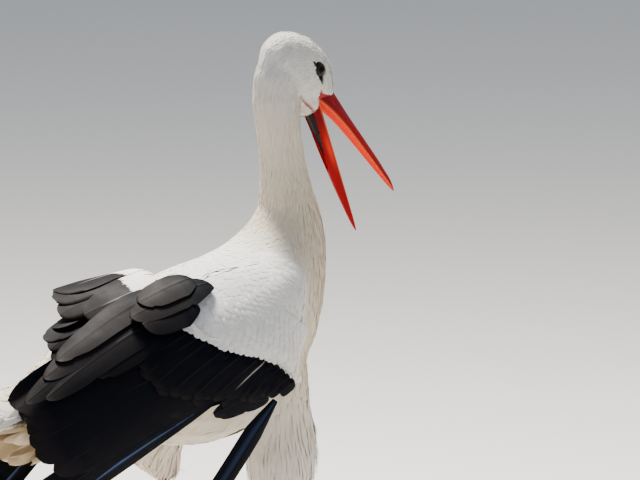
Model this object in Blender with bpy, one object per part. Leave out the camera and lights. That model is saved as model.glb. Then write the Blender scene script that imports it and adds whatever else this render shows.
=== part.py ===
"""White stork (Ciconia ciconia), life size, as a still standing figure.

Metres, +Z up. The bird faces +X, its left side is +Y, and its soles lie on Z = 0.
It stands with its neck raised, its head bowed and its bill open; both wings are
loosely folded and hang a little, so that their tips drop below the tail.
The solids give the feathered outline: body and neck are lofts of oval sections,
and each group of flight feathers is a thin curved plate with a notched tip edge.
"""

import math
from typing import NamedTuple

import bmesh
import bpy
import numpy as np
from mathutils import Vector

# ---------------------------------------------------------------- driving sizes
GAP = 0.0005  # clearance between neighbouring solids
CENTRE_X = 0.0833  # moves the whole bird so that its box is centred on the origin
CENTRE_Y = 0.0

HEAD_CENTRE = (0.147, 0.7765)  # x, z
HEAD_PITCH = -46.2  # degrees, the way the head points
LOWER_BILL_PITCH = -67.4
BILL_BASE = (0.0415, 0.0029)  # start of the upper bill's edge in the head's directions
UPPER_BILL_PITCH = -47.2
UPPER_BILL_LENGTH = 0.170
LOWER_BILL_LENGTH = 0.157
LOWER_BILL_BASE = (0.1765, 0.7285)  # start of the lower bill's edge, x and z

EYE_RADIUS = 0.0085
EYE_ALONG, EYE_ABOVE, EYE_ASIDE = 0.0045, 0.0126, 0.0236

SOLE_TOP = 0.020  # height of a foot's hub
TOE_RADIUS = 0.0062

# ---------------------------------------------------------------- sections
class Section(NamedTuple):
    """An oval section: centre, lean of its plane, and half sizes."""

    x: float
    z: float
    lean: float
    width: float
    dorsal: float
    ventral: float


# From the tail root forwards and up the neck to inside the head.
SPINE = [
    Section(-0.262, 0.438, 14, 0.024, 0.012, 0.038),
    Section(-0.225, 0.446, 14, 0.044, 0.022, 0.060),
    Section(-0.180, 0.454, 12, 0.062, 0.040, 0.074),
    Section(-0.120, 0.464, 8, 0.080, 0.061, 0.092),
    Section(-0.055, 0.470, 6, 0.091, 0.085, 0.110),
    Section(0.010, 0.480, 16, 0.093, 0.089, 0.118),
    Section(0.070, 0.512, 37, 0.087, 0.077, 0.098),
    Section(0.114, 0.564, 60, 0.0620, 0.0500, 0.0645),
    Section(0.1335, 0.612, 80, 0.0375, 0.0350, 0.0425),
    Section(0.1290, 0.652, 92, 0.0280, 0.0282, 0.0295),
    Section(0.1235, 0.690, 96, 0.0250, 0.0255, 0.0258),
    Section(0.118, 0.730, 92, 0.0258, 0.0270, 0.0262),
    Section(0.119, 0.766, 88, 0.0270, 0.0305, 0.0280),
    Section(0.130, 0.798, 66, 0.0240, 0.0300, 0.0220),
]
TRUNK_END, NECK_LOW_END, NECK_MID_END = 0.600, 0.720, 0.840  # shares of the spine

# Along the head from the nape to the bill, as (distance, rise, width, top, bottom).
HEAD_STATIONS = [
    (-0.0540, 0.002, 0.0070, 0.0080, 0.0090),
    (-0.0490, 0.001, 0.0180, 0.0190, 0.0200),
    (-0.0380, 0.000, 0.0258, 0.0292, 0.0300),
    (-0.0200, 0.000, 0.0302, 0.0378, 0.0365),
    (0.0000, 0.000, 0.0314, 0.0408, 0.0370),
    (0.0180, 0.000, 0.0290, 0.0396, 0.0330),
    (0.0310, 0.001, 0.0222, 0.0350, 0.0280),
    (0.0420, 0.006, 0.0158, 0.0238, 0.0165),
    (0.0500, 0.010, 0.0120, 0.0130, 0.0080),
    (0.0545, 0.012, 0.0092, 0.0062, 0.0040),
]

# Share of the bill's length, width and height.
UPPER_BILL = [
    (-0.15, 0.0245, 0.0190),
    (0.00, 0.0245, 0.0190),
    (0.10, 0.0228, 0.0174),
    (0.30, 0.0182, 0.0140),
    (0.55, 0.0148, 0.0112),
    (0.80, 0.0106, 0.0080),
    (0.95, 0.0058, 0.0044),
    (1.00, 0.0018, 0.0014),
]
UPPER_SAG, SAG_END = 0.0095, 0.45  # the upper bill's edges hang this low at the gape
LOWER_BILL = [
    (-0.15, 0.0240, 0.0150),
    (0.00, 0.0250, 0.0160),
    (0.10, 0.0225, 0.0152),
    (0.30, 0.0182, 0.0132),
    (0.55, 0.0136, 0.0104),
    (0.80, 0.0084, 0.0062),
    (0.95, 0.0042, 0.0028),
    (1.00, 0.0014, 0.0010),
]
# Half of each mandible's section, from its outer edge over the ridge, in widths and heights.
RIDGE_HALF = [(0.50, 0.0), (0.49, 0.27), (0.39, 0.62), (0.18, 0.92)]
MOUTH_HALF = [(0.32, 0.02), (0.18, 0.15)]
MOUTH_DEPTH = 0.20
GULAR_REACH = 0.47  # how far the bare throat skin runs along the lower bill

# ---------------------------------------------------------------- wing shell
# The folded wings lie on a shell round the body: at each x, the height of its middle,
# its half height above and below that, and its half width.
SHELL = [
    (-0.56, 0.262, 0.085, 0.110, 0.042),
    (-0.45, 0.290, 0.085, 0.110, 0.050),
    (-0.33, 0.345, 0.088, 0.115, 0.066),
    (-0.22, 0.402, 0.092, 0.120, 0.084),
    (-0.11, 0.446, 0.098, 0.125, 0.098),
    (0.00, 0.470, 0.106, 0.130, 0.105),
    (0.06, 0.483, 0.108, 0.130, 0.104),
    (0.13, 0.505, 0.100, 0.130, 0.088),
]
LEFT_LIFT = 0.0  # the left wing is held this much higher
SHELL_REACH = 0.95  # a side plate follows the shell to this share of its half height

# Front and back edges of the feathered arm, as (x, z) from the shoulder to the wrist.
ARM_FRONT = (
    (0.070, 0.578), (0.095, 0.560), (0.0905, 0.530), (0.0735, 0.497), (0.0605, 0.472), (0.052, 0.441),
)
ARM_BACK = (
    (-0.032, 0.567), (-0.041, 0.555), (-0.093, 0.523), (-0.0545, 0.490), (0.0088, 0.470), (0.047, 0.439),
)
QUILLS = ((-0.098, 0.519), (-0.058, 0.486), (0.000, 0.467), (0.040, 0.438))


class SidePlate(NamedTuple):
    """A group of feathers at the side: lines of roots and tips as (x, z), and the build."""

    roots: tuple
    tips: tuple
    feathers: int
    rows: int
    notch: float
    layer: float
    thickness: float


class BackPlate(NamedTuple):
    """A group over the back: roots and tips as (x, degrees from the top, height on the shell)."""

    roots: tuple
    tips: tuple
    feathers: int
    notch: float
    thickness: float


RIGHT_PLATES = {
    "primaries": SidePlate(
        ((-0.072, 0.456), (-0.045, 0.434)),
        ((-0.410, 0.290), (-0.465, 0.245), (-0.425, 0.192)),
        5, 5, 0.040, 0.000, 0.0028,
    ),
    "secondaries": SidePlate(
        QUILLS,
        (
            (-0.302, 0.441), (-0.302, 0.415), (-0.302, 0.388), (-0.270, 0.365),
            (-0.214, 0.381), (-0.150, 0.403), (-0.080, 0.421),
        ),
        11, 5, 0.045, 0.0038, 0.0032,
    ),
    "greater_coverts": SidePlate(
        QUILLS,
        ((-0.165, 0.492), (-0.150, 0.452), (-0.092, 0.435), (-0.030, 0.4275), (0.014, 0.4285)),
        9, 3, 0.060, 0.0084, 0.0030,
    ),
    "primary_covert": SidePlate(
        ((0.008, 0.4335), (0.012, 0.4210)),
        ((-0.060, 0.4320), (-0.072, 0.4167), (-0.052, 0.4060)),
        1, 5, 0.0, 0.0128, 0.0026,
    ),
    "tertials": BackPlate(
        ((-0.098, 15, 0.0115), (-0.098, 33, 0.0120), (-0.104, 50, 0.0126)),
        ((-0.200, 18, 0.0120), (-0.236, 25, 0.0125), (-0.262, 31, 0.0125), (-0.300, 37, 0.0120),
         (-0.262, 46, 0.0120), (-0.190, 52, 0.0130)),
        4, 0.060, 0.0030,
    ),
    "scapulars": BackPlate(
        ((-0.070, 24, 0.0150), (-0.046, 36, 0.0165), (-0.095, 49, 0.0170)),
        ((-0.122, 22, 0.0165), (-0.150, 33, 0.0175), (-0.138, 46, 0.0175)),
        2, 0.060, 0.0030,
    ),
}
# The left wing hangs a little lower at the back, and its shoulder feathers are raised.
LEFT_PLATES = {
    **RIGHT_PLATES,
    "primaries": SidePlate(
        ((-0.072, 0.452), (-0.045, 0.432)),
        ((-0.400, 0.262), (-0.450, 0.220), (-0.410, 0.174)),
        5, 5, 0.040, 0.000, 0.0028,
    ),
    "secondaries": SidePlate(
        QUILLS,
        (
            (-0.215, 0.385), (-0.240, 0.366), (-0.258, 0.345), (-0.245, 0.332),
            (-0.200, 0.356), (-0.145, 0.390), (-0.080, 0.415),
        ),
        11, 5, 0.045, 0.0038, 0.0032,
    ),
    "tertials": BackPlate(
        ((-0.128, -14.4, -0.0077), (-0.112, 12.7, -0.0065), (-0.095, 36.2, 0.0022)),
        ((-0.199, -15.8, -0.0133), (-0.220, -10.1, -0.0150), (-0.221, 3.4, 0.0015),
         (-0.189, 15.3, 0.0062), (-0.148, 27.9, 0.0024)),
        4, 0.060, 0.0030,
    ),
    "scapulars": BackPlate(
        ((-0.082, -17.6, -0.0014), (-0.055, 11.2, 0.0005), (-0.040, 32.0, 0.0096)),
        ((-0.152, -7.5, -0.0019), (-0.180, 13.1, 0.0202), (-0.173, 22.6, 0.0394),
         (-0.148, 30.0, 0.0460)),
        3, 0.060, 0.0030,
    ),
}
# The outermost primary of the right wing has slipped down and hangs from the wrist.
LOOSE_PRIMARY = ((0.029, 0.418), (-0.020, 0.368), (-0.085, 0.290), (-0.165, 0.225))
LOOSE_WIDTH = 0.024
LOOSE_ASIDE = 0.1050

# ---------------------------------------------------------------- legs
# Each leg from the thigh down: points (x, y) at named heights.
LEGS = {
    "right": {
        "side": -1,
        "thigh": [
            (0.066, 0.046, 0.455, 0.050, 0.034),
            (0.078, 0.047, 0.405, 0.041, 0.032),
            (0.083, 0.047, 0.370, 0.044, 0.031),
            (0.084, 0.047, 0.340, 0.047, 0.031),
            (0.086, 0.047, 0.316, 0.042, 0.027),
            (0.088, 0.047, 0.304, 0.030, 0.019),
        ],
        "knee": (0.096, 0.047, 0.3034),
        "ankle": (0.054, 0.050, 0.222),
        "foot": (0.037, 0.052, SOLE_TOP),
    },
    "left": {
        "side": 1,
        "thigh": [
            (-0.020, 0.046, 0.440, 0.064, 0.036),
            (-0.028, 0.047, 0.390, 0.054, 0.032),
            (-0.031, 0.048, 0.358, 0.044, 0.027),
            (-0.024, 0.048, 0.338, 0.032, 0.020),
            (-0.014, 0.048, 0.324, 0.018, 0.0135),
            (-0.011, 0.048, 0.316, 0.0120, 0.0110),
        ],
        "knee": (-0.011, 0.048, 0.3154),
        "ankle": (-0.044, 0.051, 0.222),
        "foot": (-0.055, 0.054, SOLE_TOP),
    },
}
SHANK_RADIUS, JOINT_RADIUS, TARSUS_RADIUS = 0.0066, 0.0112, 0.0062
# Toes: name, bearing from straight ahead (positive is outwards), length, radius.
TOES = [
    ("inner", -27.0, 0.062, 0.0054),
    ("middle", 2.0, 0.082, 0.0060),
    ("outer", 33.0, 0.070, 0.0056),
    ("hind", 176.0, 0.034, 0.0046),
]
CLAW_LENGTH = 0.010

# ---------------------------------------------------------------- tail
TAIL_ROOT = (-0.196, 0.458)
TAIL_SLOPE = 7.0
TAIL_LENGTH = 0.262
TAIL_FEATHERS = 6
TAIL_HALF_ANGLE = 7.0
TAIL_ROOT_HALF = 0.030
TAIL_CAMBER = 0.026


# ---------------------------------------------------------------- materials
def finish(name, colour, roughness):
    """A Principled material with a linear base colour."""
    material = bpy.data.materials.new(name)
    material.use_nodes = True
    shader = material.node_tree.nodes["Principled BSDF"]
    shader.inputs["Base Color"].default_value = (*colour, 1.0)
    shader.inputs["Roughness"].default_value = roughness
    shader.inputs["Metallic"].default_value = 0.0
    return material


# ---------------------------------------------------------------- small tools
def smooth(knots, values, at):
    """Smooth curve through values at knots, read at one place."""
    knots = np.asarray(knots, float)
    values = np.asarray(values, float)
    slopes = np.gradient(values, knots, axis=0)
    i = int(np.clip(np.searchsorted(knots, at) - 1, 0, len(knots) - 2))
    step = knots[i + 1] - knots[i]
    t = (at - knots[i]) / step
    return (
        (2 * t**3 - 3 * t**2 + 1) * values[i]
        + (t**3 - 2 * t**2 + t) * step * slopes[i]
        + (3 * t**2 - 2 * t**3) * values[i + 1]
        + (t**3 - t**2) * step * slopes[i + 1]
    )


def line_at(points, share):
    """A point on the smooth line through evenly counted points."""
    if len(points) == 2:
        return Vector(points[0]).lerp(Vector(points[1]), share)
    return Vector(smooth(range(len(points)), points, share * (len(points) - 1)))


def bezier(points, t):
    """A point on the Bezier curve of these control points."""
    points = [Vector(p) for p in points]
    while len(points) > 1:
        points = [a.lerp(b, t) for a, b in zip(points, points[1:])]
    return points[0]


def oval(x, z, lean, width, dorsal, ventral, sides, y=0.0):
    """The corners of an oval section in a plane leant back by lean degrees."""
    up_x, up_z = -math.sin(math.radians(lean)), math.cos(math.radians(lean))
    ring = []
    for i in range(sides):
        turn = 2 * math.pi * i / sides
        rise = (dorsal if math.cos(turn) > 0 else ventral) * math.cos(turn)
        ring.append(Vector((x + up_x * rise, y + width * math.sin(turn), z + up_z * rise)))
    return ring


def add_object(name, bm, material, smooth_angle=50.0):
    """Finishes a closed bmesh as an object of the bird."""
    bmesh.ops.remove_doubles(bm, verts=bm.verts, dist=1e-6)
    bmesh.ops.recalc_face_normals(bm, faces=bm.faces)
    if bm.calc_volume(signed=True) < 0:
        bmesh.ops.reverse_faces(bm, faces=bm.faces)
    bmesh.ops.triangulate(bm, faces=bm.faces)
    mesh = bpy.data.meshes.new(name)
    bm.to_mesh(mesh)
    bm.free()
    mesh.shade_smooth()
    mesh.set_sharp_from_angle(angle=math.radians(smooth_angle))
    mesh.materials.append(material)
    made = bpy.data.objects.new(name, mesh)
    bpy.context.scene.collection.objects.link(made)
    return made


def loft(name, rings, material, smooth_angle=50.0):
    """A closed solid through rings of equal count, with flat ends."""
    bm = bmesh.new()
    loops = []
    for ring in rings:
        corners = [bm.verts.new(p) for p in ring]
        loops.append([bm.edges.new((a, b)) for a, b in zip(corners, corners[1:] + corners[:1])])
    for before, after in zip(loops, loops[1:]):
        bmesh.ops.bridge_loops(bm, edges=before + after)
    for end in (loops[0], loops[-1]):
        bmesh.ops.contextual_create(bm, geom=end)
    return add_object(name, bm, material, smooth_angle)


def plate(name, columns, rows, place, material):
    """A closed thin solid: place(u, v, inner) gives the points of its two faces."""
    bm = bmesh.new()
    bmesh.ops.create_grid(bm, x_segments=columns, y_segments=rows, size=0.5)
    made = bmesh.ops.extrude_face_region(bm, geom=bm.faces[:], use_keep_orig=True)
    inner = {item for item in made["geom"] if isinstance(item, bmesh.types.BMVert)}
    for corner in bm.verts:
        corner.co = Vector(place(corner.co.x + 0.5, corner.co.y + 0.5, corner in inner))
    return add_object(name, bm, material)


def as_helper(obj):
    """Hides an object that only cuts or joins."""
    obj.hide_render = True
    obj.display_type = "WIRE"
    return obj


def swollen(obj):
    """A helper copy of a finished object, larger by the gap all round."""
    bpy.context.view_layer.update()
    evaluated = obj.evaluated_get(bpy.context.evaluated_depsgraph_get())
    mesh = bpy.data.meshes.new_from_object(evaluated)
    for corner, normal in zip(mesh.vertices, [v.normal.copy() for v in mesh.vertices]):
        corner.co += normal * GAP
    helper = bpy.data.objects.new(obj.name + "_clearance", mesh)
    bpy.context.scene.collection.objects.link(helper)
    return as_helper(helper)


def combine(obj, other, operation):
    """Adds an exact Boolean with a helper object."""
    modifier = obj.modifiers.new(operation.lower(), "BOOLEAN")
    modifier.operation = operation
    modifier.object = other
    modifier.solver = "EXACT"


# ---------------------------------------------------------------- body and neck
def spine_section(share):
    """The body's section at a share of the spine's length."""
    places = np.array([(s.x, s.z) for s in SPINE])
    steps = np.linalg.norm(np.diff(places, axis=0), axis=1)
    knots = np.concatenate([[0], np.cumsum(steps)]) / steps.sum()
    return Section(*smooth(knots, SPINE, share))


def body_rings(start, end, count, sides):
    """Rings of the body between two shares of the spine."""
    return [oval(*spine_section(s), sides) for s in np.linspace(start, end, count)]


def rounded_start(rings, shrink, reach):
    """Puts a smaller ring before the first, so that the end is rounded."""
    middle = sum(rings[0], Vector()) / len(rings[0])
    ahead = middle - sum(rings[1], Vector()) / len(rings[1])
    outwards = ahead.normalized() * reach
    return [[middle + (p - middle) * shrink + outwards for p in rings[0]]] + rings


def build_body(white):
    """Trunk and three lengths of neck, parted by thin cuts."""
    cut = 0.0003  # share of the spine left free at each cut
    trunk_rings = rounded_start(body_rings(0, TRUNK_END, 14, 22), 0.55, 0.008)
    trunk = loft("trunk", trunk_rings, white)
    lower = loft("neck_lower", body_rings(TRUNK_END + cut, NECK_LOW_END, 4, 18), white)
    loft("neck_middle", body_rings(NECK_LOW_END + cut, NECK_MID_END, 4, 18), white)
    upper = loft("neck_upper", body_rings(NECK_MID_END + cut, 1.0, 5, 18), white)
    return trunk, lower, upper


# ---------------------------------------------------------------- head
def head_point(along, above, aside=0.0):
    """A point in the head's own directions: along the bill, towards the crown, to the left."""
    pitch = math.radians(HEAD_PITCH)
    return Vector((
        HEAD_CENTRE[0] + along * math.cos(pitch) - above * math.sin(pitch),
        aside,
        HEAD_CENTRE[1] + along * math.sin(pitch) + above * math.cos(pitch),
    ))


def build_head(white, dark, neck_upper):
    """Head with its chin and eye sockets, and the two eyes."""
    rings = []
    for along, rise, width, top, bottom in HEAD_STATIONS:
        middle = head_point(along, rise)
        rings.append(oval(middle.x, middle.z, HEAD_PITCH, width, top, bottom, 20))
    head = loft("head", rings, white)
    chin = loft(
        "chin",
        [
            oval(0.1420, 0.7570, -50, 0.0225, 0.0210, 0.0200, 12),
            oval(0.1525, 0.7440, -54, 0.0185, 0.0165, 0.0160, 12),
            oval(0.1600, 0.7345, -58, 0.0140, 0.0120, 0.0120, 12),
            oval(0.1632, 0.7285, -60, 0.0095, 0.0080, 0.0085, 12),
        ],
        white,
    )
    combine(head, as_helper(chin), "UNION")
    for side, name in ((1, "cheek_left"), (-1, "cheek_right")):
        cheek = loft(
            name,
            [
                oval(0.1480, 0.7560, -48, 0.0125, 0.0150, 0.0150, 12, y=side * 0.0115),
                oval(0.1565, 0.7440, -53, 0.0112, 0.0128, 0.0125, 12, y=side * 0.0112),
                oval(0.1618, 0.7360, -57, 0.0090, 0.0090, 0.0085, 12, y=side * 0.0106),
                oval(0.1635, 0.7325, -59, 0.0055, 0.0050, 0.0050, 12, y=side * 0.0104),
            ],
            white,
        )
        combine(head, as_helper(cheek), "UNION")
    for side, name in ((1, "eye_left"), (-1, "eye_right")):
        bm = bmesh.new()
        bmesh.ops.create_uvsphere(bm, u_segments=12, v_segments=8, radius=EYE_RADIUS)
        centre = head_point(EYE_ALONG, EYE_ABOVE, side * EYE_ASIDE)
        bmesh.ops.translate(bm, verts=bm.verts, vec=centre)
        eye = add_object(name, bm, dark)
        combine(head, swollen(eye), "DIFFERENCE")
    combine(neck_upper, swollen(head), "DIFFERENCE")
    return head


# ---------------------------------------------------------------- bill
def mandible_rings(base, pitch, length, stations, sign, sag=0.0):
    """Rings of one mandible: a ridge on the outside and a shallow channel in the mouth."""
    pitch = math.radians(pitch)
    forward = Vector((math.cos(pitch), 0, math.sin(pitch)))
    up = Vector((-math.sin(pitch), 0, math.cos(pitch)))
    half = RIDGE_HALF
    outline = half + [(0.0, 1.0)] + [(-y, h) for y, h in reversed(half)]
    mouth = [(-y, h) for y, h in MOUTH_HALF] + [(0.0, MOUTH_DEPTH)]
    outline += mouth + [(y, h) for y, h in reversed(MOUTH_HALF)]
    rings = []
    shares = np.linspace(stations[0][0], 1.0, 12)
    for share in shares:
        width, height = smooth([s[0] for s in stations], [s[1:] for s in stations], share)
        middle = Vector(base) + forward * length * share
        hang = sag * max(0.0, 1 - max(share, 0.0) / SAG_END) ** 2.2
        rings.append([
            middle + Vector((0, y * width, 0)) + up * sign * (h * height - hang * (2 * y) ** 2)
            for y, h in outline
        ])
    return rings


def gular_rings(base, pitch, inset, top, bottom):
    """Rings of the bare throat skin between the two arms of the lower bill."""
    pitch = math.radians(pitch)
    forward = Vector((math.cos(pitch), 0, math.sin(pitch)))
    up = Vector((-math.sin(pitch), 0, math.cos(pitch)))
    rings = []
    for share in np.linspace(-0.16, GULAR_REACH - inset * 20, 6):
        width, height = smooth([s[0] for s in LOWER_BILL], [s[1:] for s in LOWER_BILL], share)
        half = 0.36 * width * (1 - (max(share, 0) / (GULAR_REACH + 0.03)) ** 2) - inset
        middle = Vector(base) + forward * LOWER_BILL_LENGTH * share
        rings.append([
            middle + Vector((0, y * half, 0)) - up * height * h
            for y, h in ((1, top), (-1, top), (-0.8, bottom), (0.8, bottom))
        ])
    return rings


def build_bill(red, black, head):
    """Upper and lower bill, and the black skin under the lower one."""
    base = head_point(*BILL_BASE)
    upper = loft(
        "bill_upper",
        mandible_rings(base, UPPER_BILL_PITCH, UPPER_BILL_LENGTH, UPPER_BILL, 1, UPPER_SAG),
        red,
    )
    low = Vector((LOWER_BILL_BASE[0], 0, LOWER_BILL_BASE[1]))
    lower = loft(
        "bill_lower",
        mandible_rings(low, LOWER_BILL_PITCH, LOWER_BILL_LENGTH, LOWER_BILL, -1),
        red,
    )
    room = loft("gular_room", gular_rings(low, LOWER_BILL_PITCH, 0.0, 0.45, 1.6), black)
    skin = loft("gular_skin", gular_rings(low, LOWER_BILL_PITCH, GAP, 0.50, 0.80), black)
    combine(lower, as_helper(room), "DIFFERENCE")
    clear_head = swollen(head)
    for piece in (upper, lower, skin):
        combine(piece, clear_head, "DIFFERENCE")
    combine(lower, swollen(upper), "DIFFERENCE")


# ---------------------------------------------------------------- wings
def shell_section(x):
    """Height of the shell's middle, half heights up and down, and half width at this x."""
    return smooth([s[0] for s in SHELL], [s[1:] for s in SHELL], x)


def shell_half(x, z):
    """How far from the middle of the bird the wing shell lies at this x and z."""
    middle, upper, lower, half_width = shell_section(x)
    level = (z - middle) / (upper if z > middle else lower)
    level = min(max(level, -SHELL_REACH), SHELL_REACH)
    return float(half_width * math.sqrt(1 - level**2))


def lift_of(side):
    """How far the wing of this side is raised."""
    return LEFT_LIFT if side > 0 else 0.0


def notched(u, feathers, depth):
    """How far a tip edge reaches at u: full at each feather's tip and less between."""
    phase = (u * feathers) % 1.0 if feathers > 1 else 0.5
    return 1.0 - depth * (2 * abs(phase - 0.5)) ** 2


def build_side_plate(name, side, form, material):
    """One group of feathers at the side of one wing."""
    columns = max(4, form.feathers * 2)

    def place(u, v, inner):
        root, tip = line_at(form.roots, u), line_at(form.tips, u)
        x, z = root.lerp(tip, v * notched(u + 0.5 / columns, form.feathers, form.notch))
        out = form.layer + (0 if inner else form.thickness * (1 - 0.40 * v))
        return x, side * (shell_half(x, z) + out), z + lift_of(side)

    return plate(name, columns, form.rows, place, material)


def build_back_plate(name, side, form, material):
    """One group of feathers over the back."""
    columns = form.feathers * 2 + 1

    def place(u, v, inner):
        root, tip = line_at(form.roots, u), line_at(form.tips, u)
        x, angle, out = root.lerp(tip, v * notched(u, form.feathers, form.notch))
        out += 0 if inner else form.thickness * (1 - 0.40 * v)
        middle, upper, _, half_width = shell_section(x)
        turn = math.radians(angle)
        z = middle + (upper + out) * math.cos(turn) + lift_of(side)
        return x, side * (half_width + out) * math.sin(turn), z

    return plate(name, columns, 5, place, material)


def build_loose_primary(material):
    """The slipped outermost primary of the right wing."""

    def place(u, v, inner):
        here, ahead = bezier(LOOSE_PRIMARY, v), bezier(LOOSE_PRIMARY, v + 0.01)
        along = (ahead - here).normalized()
        width = LOOSE_WIDTH * (0.30 + 0.70 * math.sin(math.pi * min(0.95, 0.12 + 0.84 * v)))
        x, z = here + Vector((-along.y, along.x)) * (u - 0.5) * width
        return x, -(LOOSE_ASIDE - 0.012 * v + (0 if inner else 0.0016)), z

    return plate("loose_primary_right", 3, 12, place, material)


def build_wing_arm(side, sides_name, white, cutters):
    """The feathered arm: a low cushion from the shoulder to the line from elbow to wrist."""
    lift = lift_of(side)

    def place(u, v, inner):
        x, z = line_at(ARM_FRONT, u).lerp(line_at(ARM_BACK, u), v)
        half = shell_half(x, z)
        if inner:
            return x, side * 0.015, z + lift - 0.040 * (1 - u) ** 3
        rim = 0.25 + 0.75 * math.sin(math.pi * (0.06 + 0.88 * u)) ** 0.6
        crown = math.sin(math.pi * min(1.0, 0.10 + 0.80 * v)) ** 0.7
        out = 0.0080 + 0.0105 * crown * rim - 0.016 * (1 - v) ** 3
        return x, side * (half + out), z + lift

    arm = plate(f"wing_arm_{sides_name}", 14, 8, place, white)
    for cutter in cutters:
        combine(arm, cutter, "DIFFERENCE")
    return arm


# ---------------------------------------------------------------- legs and feet
def limb_rings(points, radii, sides, along):
    """Round rings at a line of points, all square to one direction."""
    turned = along.to_track_quat("Z", "Y")
    rings = []
    for point, radius in zip(points, radii):
        rings.append([
            point + turned @ Vector((
                radius * math.cos(2 * math.pi * k / sides),
                radius * math.sin(2 * math.pi * k / sides),
                0,
            ))
            for k in range(sides)
        ])
    return rings


def flattened(rings, floor=0.0):
    """Rings with every point below the floor lifted onto it."""
    return [[Vector((p.x, p.y, max(p.z, floor))) for p in ring] for ring in rings]


def build_toe(start, bearing, length, radius, side, red, name):
    """One toe lying on the floor, with two low knuckles."""
    angle = math.radians(bearing) * side
    way = Vector((math.cos(angle), math.sin(angle), 0))
    points, radii = [], []
    for share in (0.0, 0.14, 0.34, 0.50, 0.66, 0.84, 0.97, 1.0):
        knuckle = 1.0 + 0.14 * math.cos(share * 6 * math.pi)
        size = radius * (1.05 - 0.30 * share) * knuckle * (0.72 if share == 1.0 else 1.0)
        height = 0.0070 * (1 - share) ** 3 + size * 0.80
        points.append(start + way * length * share + Vector((0, 0, height)))
        radii.append(size)
    return loft(name, flattened(limb_rings(points, radii, 8, way)), red), way


def build_leg(name, leg, white, red, horn, trunk):
    """Thigh, bare shank, tarsus, foot and claws of one leg."""
    side = leg["side"]
    thigh_rings = [
        oval(x, z, 90, wide, deep, deep, 16, y=side * y)
        for x, y, z, deep, wide in leg["thigh"]
    ]
    thigh = loft(f"thigh_{name}", thigh_rings, white)
    combine(thigh, trunk, "DIFFERENCE")

    knee, ankle, foot = (Vector((x, side * y, z)) for x, y, z in (leg["knee"], leg["ankle"], leg["foot"]))
    slack = Vector((0, 0, GAP))
    shank_stops = [0.0, 0.30, 0.62, 0.86, 1.0]
    shank_sizes = [0.0078, SHANK_RADIUS, 0.0070, JOINT_RADIUS * 0.92, JOINT_RADIUS]
    level = [knee.lerp(ankle, s) for s in shank_stops]
    flat = [
        oval(p.x, p.z, 90, r, r, r, 12, y=p.y) for p, r in zip(level, shank_sizes)
    ]
    loft(f"shank_{name}", flat, red)
    tarsus_stops = [0.0, 0.06, 0.16, 0.40, 0.70, 0.90, 1.0]
    tarsus_sizes = [
        JOINT_RADIUS, JOINT_RADIUS * 0.90, 0.0072, TARSUS_RADIUS, TARSUS_RADIUS, 0.0072, 0.0086
    ]
    level = [(ankle - slack).lerp(foot + slack, s) for s in tarsus_stops]
    flat = [
        oval(p.x, p.z, 90, r * 0.88, r, r, 12, y=p.y) for p, r in zip(level, tarsus_sizes)
    ]
    loft(f"tarsus_{name}", flat, red)

    hub = loft(
        f"foot_{name}",
        [
            oval(foot.x, 0.0, 90, 0.0105, 0.0115, 0.0115, 12, y=foot.y),
            oval(foot.x, 0.008, 90, 0.0110, 0.0120, 0.0120, 12, y=foot.y),
            oval(foot.x, SOLE_TOP, 90, 0.0082, 0.0090, 0.0090, 12, y=foot.y),
        ],
        red,
    )
    ground = Vector((foot.x, foot.y, 0))
    for toe_name, bearing, length, radius in TOES:
        helper = f"toe_{toe_name}_{name}"
        toe, way = build_toe(ground, bearing, length, radius, side, red, helper)
        combine(hub, as_helper(toe), "UNION")
        tip = ground + way * (length + GAP)
        claw_points = [
            tip + way * CLAW_LENGTH * s + Vector((0, 0, radius * (0.62 - 0.30 * s)))
            for s in (0.0, 0.45, 0.85, 1.0)
        ]
        claw_radii = [radius * r for r in (0.50, 0.42, 0.22, 0.10)]
        claw_rings = flattened(limb_rings(claw_points, claw_radii, 8, way))
        loft(f"claw_{toe_name}_{name}", claw_rings, horn)


# ---------------------------------------------------------------- tail
def build_tail(white, trunk):
    """The closed fan of tail feathers, thick under its coverts at the root."""
    slope = math.radians(TAIL_SLOPE)

    def place(u, v, inner):
        across = 2 * u - 1
        angle = math.radians(TAIL_HALF_ANGLE) * across
        reach = TAIL_LENGTH * v * notched(u + 1 / 24, TAIL_FEATHERS, 0.035)
        reach *= 1.0 - 0.08 * across**2
        y = TAIL_ROOT_HALF * across + reach * math.sin(angle)
        top = 0.0020 + 0.0060 * (1 - v) ** 2.5
        under = 0.0020 + 0.0300 * (1 - v) ** 2
        rise = -TAIL_CAMBER * across**2 * (0.35 + 0.65 * v) + (-under if inner else top)
        x = TAIL_ROOT[0] - reach * math.cos(slope) + rise * math.sin(slope)
        z = TAIL_ROOT[1] - reach * math.sin(slope) + rise * math.cos(slope)
        return x, y, z

    tail = plate("tail", TAIL_FEATHERS * 2, 6, place, white)
    combine(tail, trunk, "DIFFERENCE")


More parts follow.
